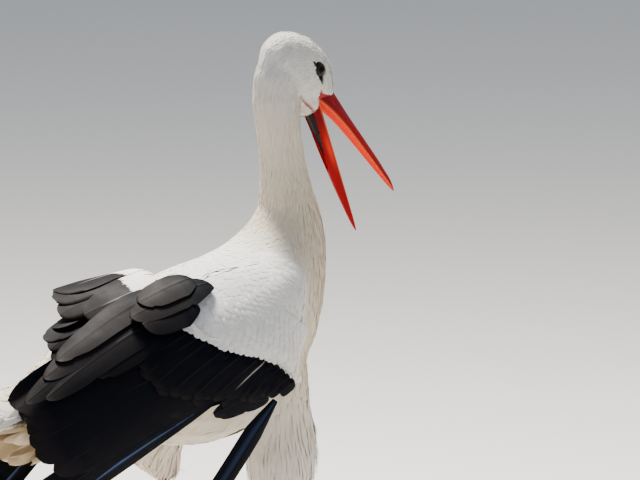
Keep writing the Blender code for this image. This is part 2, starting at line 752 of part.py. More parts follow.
# ---------------------------------------------------------------- the bird
def build_stork():
    """Builds every piece and hangs it on the bird's own empty."""
    white = finish("white_plumage", (0.80, 0.78, 0.73), 0.85)
    black = finish("black_plumage", (0.018, 0.018, 0.022), 0.50)
    red = finish("red_horn", (0.52, 0.030, 0.022), 0.32)
    red_skin = finish("red_leg_skin", (0.50, 0.075, 0.055), 0.50)
    dark = finish("dark_eye", (0.012, 0.010, 0.009), 0.08)
    bare = finish("black_throat_skin", (0.03, 0.028, 0.028), 0.60)
    horn = finish("claw_horn", (0.10, 0.055, 0.045), 0.45)

    trunk, neck_lower, neck_upper = build_body(white)
    clear_trunk = swollen(trunk)
    head = build_head(white, dark, neck_upper)
    build_bill(red, bare, head)
    cutters = (clear_trunk, swollen(neck_lower))
    for side, name, forms in ((1, "left", LEFT_PLATES), (-1, "right", RIGHT_PLATES)):
        build_wing_arm(side, name, white, cutters)
        for group, form in forms.items():
            build = build_side_plate if isinstance(form, SidePlate) else build_back_plate
            build(f"{group}_{name}", side, form, black)
    build_loose_primary(black)
    for name, leg in LEGS.items():
        build_leg(name, leg, white, red_skin, horn, clear_trunk)
    build_tail(white, clear_trunk)

    stork = bpy.data.objects.new("stork", None)
    bpy.context.scene.collection.objects.link(stork)
    stork.location = (CENTRE_X, CENTRE_Y, 0)
    for piece in list(bpy.data.objects):
        if piece is not stork:
            piece.parent = stork


def main():
    for old in list(bpy.data.objects):
        bpy.data.objects.remove(old, do_unlink=True)
    build_stork()


main()
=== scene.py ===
"""The looks of a life-size white stork figure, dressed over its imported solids.

Metres, +Z up; the bird faces +X, its left side is +Y and its soles stand on Z = 0.
One skin carries the body. Contour feathers are thin closed vanes combed over it,
flight feathers are modelled one by one, and bill, eyes, throat and legs are finer
pieces that take the places of their plain solids.
"""

import logging
import math
from dataclasses import dataclass, replace
from enum import Enum
from functools import partial
from typing import Callable, Sequence

import bmesh
import bpy
import numpy as np
from bmesh.types import BMEdge, BMesh, BMVert
from bpy.types import ID, Material, Mesh, Node, NodeSocket, NodeTree, Object
from mathutils import Matrix, Vector
from mathutils.bvhtree import BVHTree
from mathutils.kdtree import KDTree
from numpy import ndarray as Array

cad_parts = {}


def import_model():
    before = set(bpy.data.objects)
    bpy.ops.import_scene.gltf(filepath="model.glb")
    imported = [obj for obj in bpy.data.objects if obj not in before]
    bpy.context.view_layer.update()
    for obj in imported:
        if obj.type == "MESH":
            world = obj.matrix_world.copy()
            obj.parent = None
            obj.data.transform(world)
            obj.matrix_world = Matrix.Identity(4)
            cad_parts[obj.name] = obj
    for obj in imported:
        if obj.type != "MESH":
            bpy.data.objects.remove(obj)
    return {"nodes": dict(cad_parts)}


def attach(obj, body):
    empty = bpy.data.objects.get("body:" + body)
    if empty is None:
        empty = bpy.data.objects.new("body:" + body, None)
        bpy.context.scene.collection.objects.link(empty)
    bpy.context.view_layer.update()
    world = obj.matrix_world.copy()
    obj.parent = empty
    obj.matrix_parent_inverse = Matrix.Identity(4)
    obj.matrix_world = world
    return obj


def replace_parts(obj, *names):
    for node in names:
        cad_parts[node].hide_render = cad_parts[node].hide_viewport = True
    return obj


LOG = logging.getLogger("stork")
BODY = "root"
SEED = 20

# ---- driving sizes
CENTRE_X = 0.0833  # from the bird's own drawing origin to the row frame's origin
HEAD_CENTRE = (0.147, 0.7765)  # x, z
HEAD_PITCH = -46.2  # degrees, the way the head points
EYE_PLACE = (0.0045, 0.0126, 0.0236)  # along, above, aside
EYE_RADIUS = 0.0085

# The spine from the tail root forwards to the head: x, z, half width, dorsal, ventral.
SPINE = (
    (-0.262, 0.438, 0.024, 0.012, 0.038),
    (-0.180, 0.454, 0.062, 0.040, 0.074),
    (-0.120, 0.464, 0.080, 0.061, 0.092),
    (-0.055, 0.470, 0.091, 0.085, 0.110),
    (0.010, 0.480, 0.093, 0.089, 0.118),
    (0.070, 0.512, 0.087, 0.077, 0.098),
    (0.114, 0.564, 0.062, 0.050, 0.0645),
    (0.1335, 0.612, 0.0375, 0.035, 0.0425),
    (0.129, 0.652, 0.028, 0.028, 0.0295),
    (0.1235, 0.690, 0.025, 0.0255, 0.0258),
    (0.118, 0.740, 0.026, 0.028, 0.026),
    (0.130, 0.776, 0.031, 0.038, 0.034),
    (0.156, 0.766, 0.030, 0.038, 0.033),
    (0.182, 0.737, 0.015, 0.017, 0.015),
)

# The shell that the folded wings lie on: x, middle height, half height up, down, half width.
SHELL = (
    (-0.56, 0.262, 0.085, 0.110, 0.042),
    (-0.45, 0.290, 0.085, 0.110, 0.050),
    (-0.33, 0.345, 0.088, 0.115, 0.066),
    (-0.22, 0.402, 0.092, 0.120, 0.084),
    (-0.11, 0.446, 0.098, 0.125, 0.098),
    (0.00, 0.470, 0.106, 0.130, 0.105),
    (0.06, 0.483, 0.108, 0.130, 0.104),
    (0.13, 0.505, 0.100, 0.130, 0.088),
)
SHELL_REACH = 0.95

# Front and back edges of the feathered arm, x and z from the shoulder to the wrist.
ARM_FRONT = (
    (0.07, 0.578), (0.099, 0.56), (0.0975, 0.53), (0.085, 0.497), (0.073, 0.47), (0.064, 0.443),
)
ARM_BACK = (
    (-0.032, 0.567), (-0.041, 0.555), (-0.093, 0.523), (-0.0545, 0.49), (0.0088, 0.47), (0.054, 0.438),
)
LEFT_DROP = 0.012  # how much lower the left arm's feathers lie than its solid
LOWERED = {"wing_arm_left": LEFT_DROP}
QUILLS = ((-0.098, 0.519), (-0.058, 0.486), (0.0, 0.467), (0.04, 0.438))

BILL_BASE = (0.0415, 0.0029)
UPPER_PITCH, UPPER_LENGTH = -47.2, 0.17
UPPER_SAG, SAG_END = 0.0095, 0.45  # how low the upper edges hang at the gape, and how far
LOWER_BASE = (0.1765, 0.7285)
LOWER_PITCH, LOWER_LENGTH = -67.4, 0.157
GULAR_REACH = 0.47

TAIL_ROOT = (-0.196, 0.458)
TAIL_SLOPE, TAIL_LENGTH, TAIL_HALF_ANGLE = 7.0, 0.262, 7.0
TAIL_ROOT_HALF, TAIL_CAMBER = 0.03, 0.026


class Side(Enum):
    """Left and right, as the sign of Y."""

    LEFT = 1
    RIGHT = -1

    @property
    def label(self) -> str:
        """The side's word in node names."""
        return self.name.lower()


# ---- small tools
def hex_linear(code: str) -> tuple[float, float, float, float]:
    """Turns an sRGB hex colour into linear light."""
    channels = [int(code[i : i + 2], 16) / 255 for i in (1, 3, 5)]
    return (*[c / 12.92 if c <= 0.04045 else ((c + 0.055) / 1.055) ** 2.4 for c in channels], 1.0)


def plug(node: Node, inputs: dict | tuple) -> None:
    """Gives a node its values and links.

    Args:
        node: The node.
        inputs: What goes in, by input name or in the order of the inputs in use. A text is
            an sRGB hex colour, and a node stands for its first output in use.
    """
    if not isinstance(inputs, dict):
        inputs = dict(zip((i for i, socket in enumerate(node.inputs) if socket.enabled), inputs))
    for key, value in inputs.items():
        if isinstance(value, Node):
            value = next(socket for socket in value.outputs if socket.enabled)
        if isinstance(value, NodeSocket):
            node.id_data.links.new(value, node.inputs[key])
        else:
            node.inputs[key].default_value = hex_linear(value) if isinstance(value, str) else value


def add_node(tree: NodeTree, kind: str, inputs: dict | tuple = (), **settings) -> Node:
    """Adds a shader node with its settings and links.

    Args:
        tree: The node tree it goes into.
        kind: The node's Blender type, after "ShaderNode".
        inputs: Its values and links, as plug takes them.
        **settings: Properties set on the node itself.

    Returns:
        The new node.
    """
    node = tree.nodes.new("ShaderNode" + kind)
    for name, value in settings.items():
        setattr(node, name, value)
    plug(node, inputs)
    return node


def new_material(name: str) -> tuple[Material, Callable, Node]:
    """A material, what adds a node to it, and its Principled shader."""
    material = bpy.data.materials.new(name)
    material.use_nodes = True
    nodes = material.node_tree.nodes
    return material, partial(add_node, material.node_tree), nodes["Principled BSDF"]


def smooth(knots: Sequence[float], values: Sequence, at: Array) -> Array:
    """Reads a smooth curve through values at knots.

    Args:
        knots: Increasing places.
        values: One value, or one row of values, at each knot.
        at: Where to read the curve; any shape.

    Returns:
        The curve's values at those places.
    """
    knots, values, at = (np.asarray(a, float) for a in (knots, values, at))
    slopes = np.gradient(values, knots, axis=0)
    i = np.clip(np.searchsorted(knots, at) - 1, 0, len(knots) - 2)
    step = knots[i + 1] - knots[i]
    t = (at - knots[i]) / step
    if values.ndim > 1:
        step, t = step[..., None], t[..., None]
    return (
        (2 * t**3 - 3 * t**2 + 1) * values[i]
        + (t**3 - 2 * t**2 + t) * step * slopes[i]
        + (3 * t**2 - 2 * t**3) * values[i + 1]
        + (t**3 - t**2) * step * slopes[i + 1]
    )


def line_at(points: Sequence, share: Array) -> Array:
    """Points on the smooth line through evenly counted points, at shares of its length."""
    points = np.asarray(points, float)
    share = np.asarray(share, float)
    if len(points) == 2:
        return points[0] + (points[1] - points[0]) * share[..., None]
    return smooth(range(len(points)), points, share * (len(points) - 1))


def ramp(values: Array | float, start: float, end: float) -> Array:
    """Nothing at the start, one at the end, and level outside them."""
    return np.clip((values - start) / (end - start), 0, 1)


def peak(values: Array | float, middle: float, spread: float) -> Array:
    """One at the middle, fading over the spread on both sides."""
    return np.exp(-(((values - middle) / spread) ** 2))


def unit(vectors: Array) -> Array:
    """The same directions with length one."""
    return vectors / np.maximum(np.linalg.norm(vectors, axis=-1, keepdims=True), 1e-12)


def dot(a: Array, b: Array) -> Array:
    """Row-by-row product, kept as a column."""
    return np.sum(a * b, axis=-1, keepdims=True)


def row_place(x: float, z: float) -> Array:
    """A place on the bird's middle plane, moved from its own drawing to the row frame."""
    return np.array((x + CENTRE_X, 0.0, z))


def pitched(degrees: float) -> tuple[Array, Array]:
    """The ways forward and up of a part that points this much above level."""
    level, rise = math.cos(math.radians(degrees)), math.sin(math.radians(degrees))
    return np.array((level, 0.0, rise)), np.array((-rise, 0.0, level))


def head_frame() -> tuple[Array, Array, Array]:
    """The head's centre, its way forward and its way up, in the row frame."""
    return row_place(*HEAD_CENTRE), *pitched(HEAD_PITCH)


def head_point(along: float, above: float, aside: float = 0.0) -> Array:
    """A point in the head's own directions."""
    centre, forward, up = head_frame()
    return centre + forward * along + up * above + np.array((0.0, aside, 0.0))


def new_mesh(name: str, bm: BMesh) -> Mesh:
    """Turns a bmesh into a mesh and frees it."""
    mesh = bpy.data.meshes.new(name)
    bm.to_mesh(mesh)
    bm.free()
    return mesh


def new_object(name: str, data: ID) -> Object:
    """Puts a mesh, lamp or camera into the scene."""
    made = bpy.data.objects.new(name, data)
    bpy.context.scene.collection.objects.link(made)
    return made


def link_mesh(name: str, mesh: Mesh, material: Material) -> Object:
    """Puts a mesh into the scene as a piece that rides on the bird."""
    mesh.materials.clear()
    mesh.materials.append(material)
    piece = new_object(name, mesh)
    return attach(piece, BODY)


def turn_outward(bm: BMesh, gap: float) -> None:
    """Merges corners closer than the gap and turns every face outward."""
    bmesh.ops.remove_doubles(bm, verts=bm.verts, dist=gap)
    bmesh.ops.recalc_face_normals(bm, faces=bm.faces)
    if bm.calc_volume(signed=True) < 0:
        bmesh.ops.reverse_faces(bm, faces=bm.faces)


def from_bmesh(name: str, bm: BMesh, material: Material, sharp: float = 180.0) -> Object:
    """Finishes a closed bmesh as a smooth shaded piece.

    Args:
        name: The piece's name.
        bm: The shape, which is freed.
        material: Its finish.
        sharp: Degrees past which an edge stays sharp.

    Returns:
        The new object.
    """
    turn_outward(bm, 1e-6)
    mesh = new_mesh(name, bm)
    mesh.shade_smooth()
    if sharp < 180.0:
        mesh.set_sharp_from_angle(angle=math.radians(sharp))
    return link_mesh(name, mesh, material)


def map_corners(bm: BMesh, name: str, place: Callable) -> None:
    """Adds a UV map that is worked out from each corner's place."""
    layer = bm.loops.layers.uv.new(name)
    for face in bm.faces:
        for loop in face.loops:
            loop[layer].uv = place(loop.vert.co)


def merged_copy(node: str, swell: float = 0.0) -> Mesh:
    """A copy of a solid's mesh with its loose corners merged.

    Args:
        node: The solid's name.
        swell: How far the copy's surface is moved outwards.

    Returns:
        The copy.
    """
    bm = bmesh.new()
    bm.from_mesh(FRAME["nodes"][node].data)
    bmesh.ops.remove_doubles(bm, verts=bm.verts, dist=1e-5)
    bm.normal_update()
    for corner in bm.verts:
        corner.co += corner.normal * swell
    return new_mesh(node + "_copy", bm)


def joined_copies(nodes: tuple[str, ...], swell: float) -> BMesh:
    """Swollen copies of several solids in one bmesh, each as low as its feathers lie."""
    joined = bmesh.new()
    for node in nodes:
        copy = merged_copy(node, swell)
        copy.transform(Matrix.Translation((0, 0, -LOWERED.get(node, 0.0))))
        joined.from_mesh(copy)
        bpy.data.meshes.remove(copy)
    return joined


def relax(mesh: Mesh, steps: tuple[float, ...], share: Array | float = 1.0) -> None:
    """Moves each corner towards the middle of its neighbours, or away from it.

    Args:
        mesh: The mesh to change.
        steps: How far in each round; below 0 is away, which keeps the surface from shrinking.
        share: How much of that each corner takes.
    """
    places, _ = corners_of(mesh)
    ends = np.empty(len(mesh.edges) * 2, np.int32)
    mesh.edges.foreach_get("vertices", ends)
    one, other = ends.reshape(-1, 2).T
    count = np.bincount(ends, minlength=len(places))[:, None]
    for step in steps:
        total = np.zeros_like(places)
        np.add.at(total, one, places[other])
        np.add.at(total, other, places[one])
        places += step * share * (total / count - places)
    mesh.vertices.foreach_set("co", places.astype(np.float32).ravel())
    mesh.update()


def remeshed(bm: BMesh, voxel: float, rounds: int) -> Mesh:
    """Makes one even, smoothed surface of everything in a bmesh.

    Args:
        bm: Closed shapes that may overlap; it is freed.
        voxel: Edge of the cells it is rebuilt from.
        rounds: How often the result is smoothed.

    Returns:
        The new mesh.
    """
    rough = new_mesh("rough", bm)
    helper = new_object("rough", rough)
    cells = helper.modifiers.new("cells", "REMESH")
    cells.mode, cells.voxel_size, cells.adaptivity = "VOXEL", voxel, 0.0
    bpy.context.view_layer.update()
    evaluated = helper.evaluated_get(bpy.context.evaluated_depsgraph_get())
    mesh = bpy.data.meshes.new_from_object(evaluated)
    bpy.data.objects.remove(helper)
    bpy.data.meshes.remove(rough)
    relax(mesh, (0.5, -0.52) * rounds)
    return mesh


def tree_of(places: Array) -> KDTree:
    """A search tree over these places."""
    tree = KDTree(len(places))
    for i, place in enumerate(places):
        tree.insert(place, i)
    tree.balance()
    return tree


def corners_of(mesh: Mesh) -> tuple[Array, Array]:
    """A mesh's vertex places and normals as arrays."""
    places = np.empty(len(mesh.vertices) * 3, np.float32)
    normals = np.empty(len(mesh.vertices) * 3, np.float32)
    mesh.vertices.foreach_get("co", places)
    mesh.vertices.foreach_get("normal", normals)
    return places.reshape(-1, 3).astype(float), normals.reshape(-1, 3).astype(float)


def give_marks(mesh: Mesh, marks: dict[str, Array]) -> None:
    """Stores one number per vertex under each name."""
    for name, values in marks.items():
        layer = mesh.attributes.new(name, "FLOAT", "POINT")
        layer.data.foreach_set("value", np.ascontiguousarray(values, np.float32).ravel())


# ---- finishes
@dataclass(frozen=True)
class WhitePlumage:
    """White contour feathers, dry keratin barbs: matt, soft, a faint sheen at the edges."""

    name: str = "white_contour_feathers"
    white: str = "#F5F3F0"
    cream: str = "#DFCCAA"
    shade: str = "#D9D2C6"
    soil: str = "#7D5C33"
    bare: str = "#0B090A"
    gape: str = "#8E0710"
    barb_mm: float = 1.5  # real barbs stand 0.4 mm apart, too fine to show
    patches: float = 38.0  # soil in patches about 26 mm across
    nap: float = 900.0  # down about 1 mm apart
    barbs: bool = True

    def make(self) -> Material:
        """Builds the node tree: cream tint by place, worn and soiled patches, painted shade at the feather
        roots, barbs as relief.
        """
        material, add, shader = new_material(self.name)
        names = ("cream_and_shade", "soil", "tone", "along", "bare", "gape")
        mark = {name: add("Attribute", attribute_name=name).outputs["Fac"] for name in names}
        place = add("TexCoord").outputs["Object"]
        # The cream tint is partly the plumage's own stain and partly painted shade on the neck and belly.
        tint = add("Mix", (mark["cream_and_shade"], self.white, self.cream), data_type="RGBA")
        colour = add("Mix", (1.0, tint, mark["tone"]), data_type="RGBA", blend_type="MULTIPLY")
        # Painted shade: the root half of each feather is mixed towards the shade colour, most at the root.
        # It stands for the shadow of the feathers lying over it, and partly for the greyer down there.
        root = add("MapRange", (mark["along"], 0.0, 0.5, 0.45, 0.0))
        size = {"Vector": place, "Scale": self.patches, "Detail": 5.0, "Roughness": 0.62}
        cloud = add("TexNoise", size)
        patch = add("MapRange", (cloud, 0.44, 0.66, 0.0, 1.0))
        dirt = add("Math", (patch, mark["soil"]), operation="MULTIPLY")
        layers = (root, self.shade), (dirt, self.soil), (mark["bare"], self.bare), (mark["gape"], self.gape)
        for share, hue in layers:
            colour = add("Mix", (share, colour, hue), data_type="RGBA")
        plug(shader, {
            "Base Color": colour, "Normal": self.relief(add, place), "Roughness": 0.8,
            "Specular IOR Level": 0.2, "Sheen Weight": 0.1, "Sheen Roughness": 0.45,
        })
        return material

    def relief(self, add: Callable, place: NodeSocket) -> Node:
        """Slanting barbs either side of the shaft, or a fine nap on skin without vanes."""
        if self.barbs:
            height, strength, depth = barb_wave(add, self.barb_mm), 0.22, 0.0002
        else:
            height = add("TexNoise", {"Vector": place, "Scale": self.nap, "Detail": 3.0})
            strength, depth = 0.5, 0.0006
        return add("Bump", {"Strength": strength, "Distance": depth, "Height": height})


def barb_wave(add: Callable, barb_mm: float, slant: float = 1.1) -> Node:
    """Waves that run out and tipwards from the shaft, one for each drawn barb.

    Args:
        add: Adds a node to the material.
        barb_mm: Distance between barbs in millimetres.
        slant: How steeply the barbs lean towards the tip.

    Returns:
        The last node, whose value runs from -1 to 1.
    """
    vane = add("UVMap", uv_map="Barb")
    ends = add("SeparateXYZ", (vane,)).outputs
    aside = add("Math", (ends["X"],), operation="ABSOLUTE")
    lean = add("Math", (aside, -slant, ends["Y"]), operation="MULTIPLY_ADD")
    ragged = add("TexNoise", {"Vector": vane, "Scale": 120.0, "Detail": 2.0})
    bent = add("Math", (ragged, 0.004, lean), operation="MULTIPLY_ADD")
    turns = add("Math", (bent, 2 * math.pi / (barb_mm / 1000)), operation="MULTIPLY")
    return add("Math", (turns,), operation="SINE")


@dataclass(frozen=True)
class BlackPlumage:
    """Black flight feathers, dense melanin vanes: satin, a painted cold blue highlight on some vanes,
    browner where worn.
    """

    name: str = "black_flight_feathers"
    black: str = "#070A12"
    worn: str = "#26201F"
    shaft: str = "#191719"
    pale_shaft: str = "#8C8580"
    # blue is the colour of the painted highlight along the upper vane
    blue: str = "#43557A"
    white: str = "#F4F2EE"
    sheen: str = "#8FA6D8"
    barb_mm: float = 1.2  # drawn coarser than the real 0.4 mm
    streaks: tuple = (420.0, 26.0, 1.0)  # mottling 2.4 mm wide and 38 mm long
    areas: float = 30.0  # satin and matt areas about 33 mm across

    def make(self) -> Material:
        """Builds the node tree: worn tips, mottling, a painted blue highlight, the shaft, a white base and
        barbs.
        """
        material, add, shader = new_material(self.name)
        names = ("tone", "pale", "along", "gloss", "white")
        mark = {name: add("Attribute", attribute_name=name).outputs["Fac"] for name in names}
        vane = add("UVMap", uv_map="Barb")
        across = add("SeparateXYZ", (vane,)).outputs["X"]
        place = add("TexCoord").outputs["Object"]
        streak = add("Mapping", {"Vector": vane, "Scale": self.streaks})
        mottle = add("TexNoise", {"Vector": streak, "Scale": 1.0, "Detail": 4.0})
        tip = add("MapRange", (mark["along"], 0.86, 1.0, 0.0, 0.55))
        shown = add("MapRange", (mark["along"], 0.27, 0.36, 0.0, 1.0))
        faded = add("Math", (shown, mark["tone"]), operation="MULTIPLY")
        wear = add("Math", (mottle, faded), operation="MULTIPLY")
        wear = add("Math", (wear, tip), operation="ADD", use_clamp=True)
        # A painted blue highlight, standing in for the sheen of light on the vane, lies along the upper
        # vane, 0.5 to 8.5 mm from the shaft.
        upper = add("MapRange", (across, -0.0085, -0.0055, 0.0, 1.0))
        lower = add("MapRange", (across, -0.003, -0.0005, 1.0, 0.0))
        painted_gloss_strip = add("Math", (upper, lower), operation="MULTIPLY")
        painted_gloss_strip = add("Math", (painted_gloss_strip, mark["gloss"]), operation="MULTIPLY")
        # The shaft is drawn 1.7 mm wide and is paler towards its root.
        aside = add("Math", (across,), operation="ABSOLUTE")
        line = add("MapRange", (aside, 0.0006, 0.0011, 1.0, 0.0))
        root = add("MapRange", (mark["along"], 0.55, 0.8, 1.0, 0.0))
        pale = add("Math", (mark["pale"], root), operation="MULTIPLY")
        quill = add("Mix", (pale, self.shaft, self.pale_shaft), data_type="RGBA")
        # Some feathers are white to a ragged border past their base.
        past = add("Math", (mark["along"], mark["white"]), operation="SUBTRACT")
        past = add("Math", (mottle, 0.16, past), operation="MULTIPLY_ADD")
        base = add("MapRange", (past, 0.07, 0.09, 1.0, 0.0))
        some = add("Math", (mark["white"], 0.01), operation="GREATER_THAN")
        base = add("Math", (base, some), operation="MULTIPLY")
        colour = self.black
        for share, hue in ((wear, self.worn), (painted_gloss_strip, self.blue), (line, quill), (base, self.white)):
            colour = add("Mix", (share, colour, hue), data_type="RGBA")
        matt = add("TexNoise", {"Vector": place, "Scale": self.areas, "Detail": 3.0})
        rough = add("MapRange", (matt, 0.3, 0.7, 0.5, 0.66))
        height = barb_wave(add, self.barb_mm)
        relief = add("Bump", {"Strength": 0.16, "Distance": 0.0002, "Height": height})
        plug(shader, {
            "Base Color": colour, "Roughness": rough, "Normal": relief, "Specular IOR Level": 0.04,
            "Sheen Weight": 0.01, "Sheen Roughness": 0.35, "Sheen Tint": self.sheen,
        })
        return material


@dataclass(frozen=True)
class BillHorn:
    """Red bill sheath, thin keratin over blood-red tissue: waxy gloss with fine long grain."""

    name: str = "red_bill_sheath"
    outer: str = "#98010F"
    deep: str = "#4A0414"
    edge: str = "#FB7A42"
    inner: str = "#EE3306"
    # painted light: the glow of light from behind shining through the lower bill
    painted_backlight: str = "#FF2E05"
    clouds: float = 60.0  # darker clouds about 17 mm across

    def make(self) -> Material:
        """Builds the node tree: crimson ridge, orange cutting edge and mouth, a painted glow of backlight
        through the lower bill, long grain.
        """
        material, add, shader = new_material(self.name)
        names = ("mouth", "edge", "base", "painted_backlight")
        mark = {name: add("Attribute", attribute_name=name).outputs["Fac"] for name in names}
        place = add("TexCoord").outputs["Object"]
        cloud = add("TexNoise", {"Vector": place, "Scale": self.clouds, "Detail": 4.0})
        grain_map = add("UVMap", uv_map="Grain")
        grain = add("TexNoise", {"Vector": grain_map, "Scale": 1.0, "Detail": 4.0})
        dull = add("Math", (cloud, mark["base"]), operation="MULTIPLY")
        colour = self.outer
        red = (dull, self.deep), (mark["edge"], self.edge)
        bright = (mark["painted_backlight"], self.painted_backlight), (mark["mouth"], self.inner)
        for share, hue in red + bright:
            colour = add("Mix", (share, colour, hue), data_type="RGBA")
        rough = add("MapRange", (grain, 0.3, 0.7, 0.3, 0.48))
        relief = add("Bump", {"Strength": 0.35, "Distance": 0.0003, "Height": grain})
        plug(shader, {
            "Base Color": colour, "Roughness": rough, "Normal": relief, "IOR": 1.45,
            "Specular IOR Level": 0.09, "Coat Weight": 0.02, "Coat Roughness": 0.15,
        })
        return material


@dataclass(frozen=True)
class ThroatSkin:
    """Bare black throat skin, soft and dry: matt with long slack folds."""

    name: str = "bare_throat_skin"
    black: str = "#0C090A"
    fold: str = "#352528"

    def make(self) -> Material:
        """Builds the node tree: dark skin, redder in its folds."""
        material, add, shader = new_material(self.name)
        place = add("UVMap", uv_map="Grain")
        crease = add("TexNoise", {"Vector": place, "Scale": 0.7, "Detail": 5.0})
        share = add("MapRange", (crease, 0.42, 0.66, 0.0, 0.8))
        colour = add("Mix", (share, self.black, self.fold), data_type="RGBA")
        relief = add("Bump", {"Strength": 0.8, "Distance": 0.0006, "Height": crease})
        finish = {"Base Color": colour, "Normal": relief, "Roughness": 0.6, "Specular IOR Level": 0.06}
        plug(shader, finish)
        return material


@dataclass(frozen=True)
class LegScales:
    """Red leg skin, a net of small six-sided scales: satin, paler where it is dry."""

    name: str = "scaled_leg_skin"
    red: str = "#C23A33"
    groove: str = "#7E1F20"
    dry: str = "#DDA59A"
    scale_mm: float = 2.4
    patches: float = 70.0  # dry patches about 14 mm across

    def make(self) -> Material:
        """Builds the node tree: scales from cells, dry patches from noise."""
        material, add, shader = new_material(self.name)
        place = add("TexCoord").outputs["Object"]
        size = {"Vector": place, "Scale": 1000 / self.scale_mm}
        cells = add("TexVoronoi", size, feature="DISTANCE_TO_EDGE")
        flat = add("MapRange", (cells, 0.0, 0.16, 0.0, 1.0))
        cloud = add("TexNoise", {"Vector": place, "Scale": self.patches, "Detail": 5.0})
        dry = add("MapRange", (cloud, 0.5, 0.72, 0.0, 0.7))
        scale = add("Mix", (dry, self.red, self.dry), data_type="RGBA")
        colour = add("Mix", (flat, self.groove, scale), data_type="RGBA")
        relief = add("Bump", {"Strength": 0.8, "Distance": 0.0005, "Height": flat})
        plug(shader, {"Base Color": colour, "Normal": relief, "Roughness": 0.45})
        return material


@dataclass(frozen=True)
class ClawHorn:
    """Claw horn, dark grown keratin: semi-gloss, scratched lengthways."""

    name: str = "claw_horn"
    dark: str = "#3A2522"
    pale: str = "#7A584C"
    scratches: float = 240.0  # worn spots about 4 mm across

    def make(self) -> Material:
        """Builds the node tree: dark horn, paler in worn patches."""
        material, add, shader = new_material(self.name)
        place = add("TexCoord").outputs["Object"]
        cloud = add("TexNoise", {"Vector": place, "Scale": self.scratches, "Detail": 4.0})
        colour = add("Mix", (cloud, self.dark, self.pale), data_type="RGBA")
        relief = add("Bump", {"Strength": 0.4, "Distance": 0.0002, "Height": cloud})
        plug(shader, {"Base Color": colour, "Normal": relief, "Roughness": 0.38})
        return material


@dataclass(frozen=True)
class EyeGloss:
    """Wet glassy eye: a dark brown iris round a black pupil under clear cornea."""

    name: str = "wet_dark_eye"
    pupil: str = "#050404"
    iris: str = "#1E120C"
    rim: str = "#0D0908"

    def make(self) -> Material:
        """Builds the node tree: rings by distance from the pupil's middle."""
        material, add, shader = new_material(self.name)
        ring_map = add("UVMap", uv_map="Iris")
        ring = add("SeparateXYZ", (ring_map,)).outputs["X"]
        fibre = add("TexNoise", {"Vector": ring_map, "Scale": 22.0, "Detail": 3.0})
        shifted = add("Math", (fibre, 0.05, ring), operation="MULTIPLY_ADD")
        ramp = add("ValToRGB", (shifted,))
        stops = ramp.color_ramp.elements
        stops[0].position, stops[0].color = 0.17, hex_linear(self.pupil)
        stops[1].position, stops[1].color = 0.36, hex_linear(self.rim)
        for position in (0.2, 0.29):
            stops.new(position).color = hex_linear(self.iris)
        plug(shader, {
            "Base Color": ramp, "Roughness": 0.12, "IOR": 1.38, "Specular IOR Level": 0.07,
            "Coat Weight": 0.09, "Coat Roughness": 0.02,
        })
        return material


@dataclass(frozen=True)
class LidSkin:
    """Black eyelid skin, thin and slightly moist: soft gloss on fine beads."""

    name: str = "black_lid_skin"
    black: str = "#080607"
    groove: str = "#141112"
    beads: float = 1400.0  # beads 0.7 mm apart

    def make(self) -> Material:
        """Builds the node tree: beaded dark skin."""
        material, add, shader = new_material(self.name)
        place = add("TexCoord").outputs["Object"]
        bead = add("TexVoronoi", {"Vector": place, "Scale": self.beads})
        colour = add("Mix", (bead, self.groove, self.black), data_type="RGBA")
        relief = add("Bump", {"Strength": 0.6, "Distance": 0.0003, "Height": bead}, invert=True)
        finish = {"Base Color": colour, "Normal": relief, "Roughness": 0.5, "Specular IOR Level": 0.25}
        plug(shader, finish)
        return material


@dataclass(frozen=True)
class PaleFloor:
    """Painted studio floor: even and matt, so that it only takes the shadow."""

    name: str = "pale_floor_paint"
    paint: str = "#F1EFEB"

    def make(self) -> Material:
        """Builds the plain floor finish."""
        material, _, shader = new_material(self.name)
        plug(shader, {"Base Color": self.paint, "Roughness": 0.9})
        return material


class Finishes:
    """Every finish of the bird, made once."""

    def __init__(self) -> None:
        self.white = WhitePlumage().make()
        self.skin = WhitePlumage(name="downy_skin", barbs=False).make()
        self.black = BlackPlumage().make()
        self.bill = BillHorn().make()
        self.throat = ThroatSkin().make()
        self.legs = LegScales().make()
        self.claws = ClawHorn().make()
        self.eye = EyeGloss().make()
        self.lids = LidSkin().make()


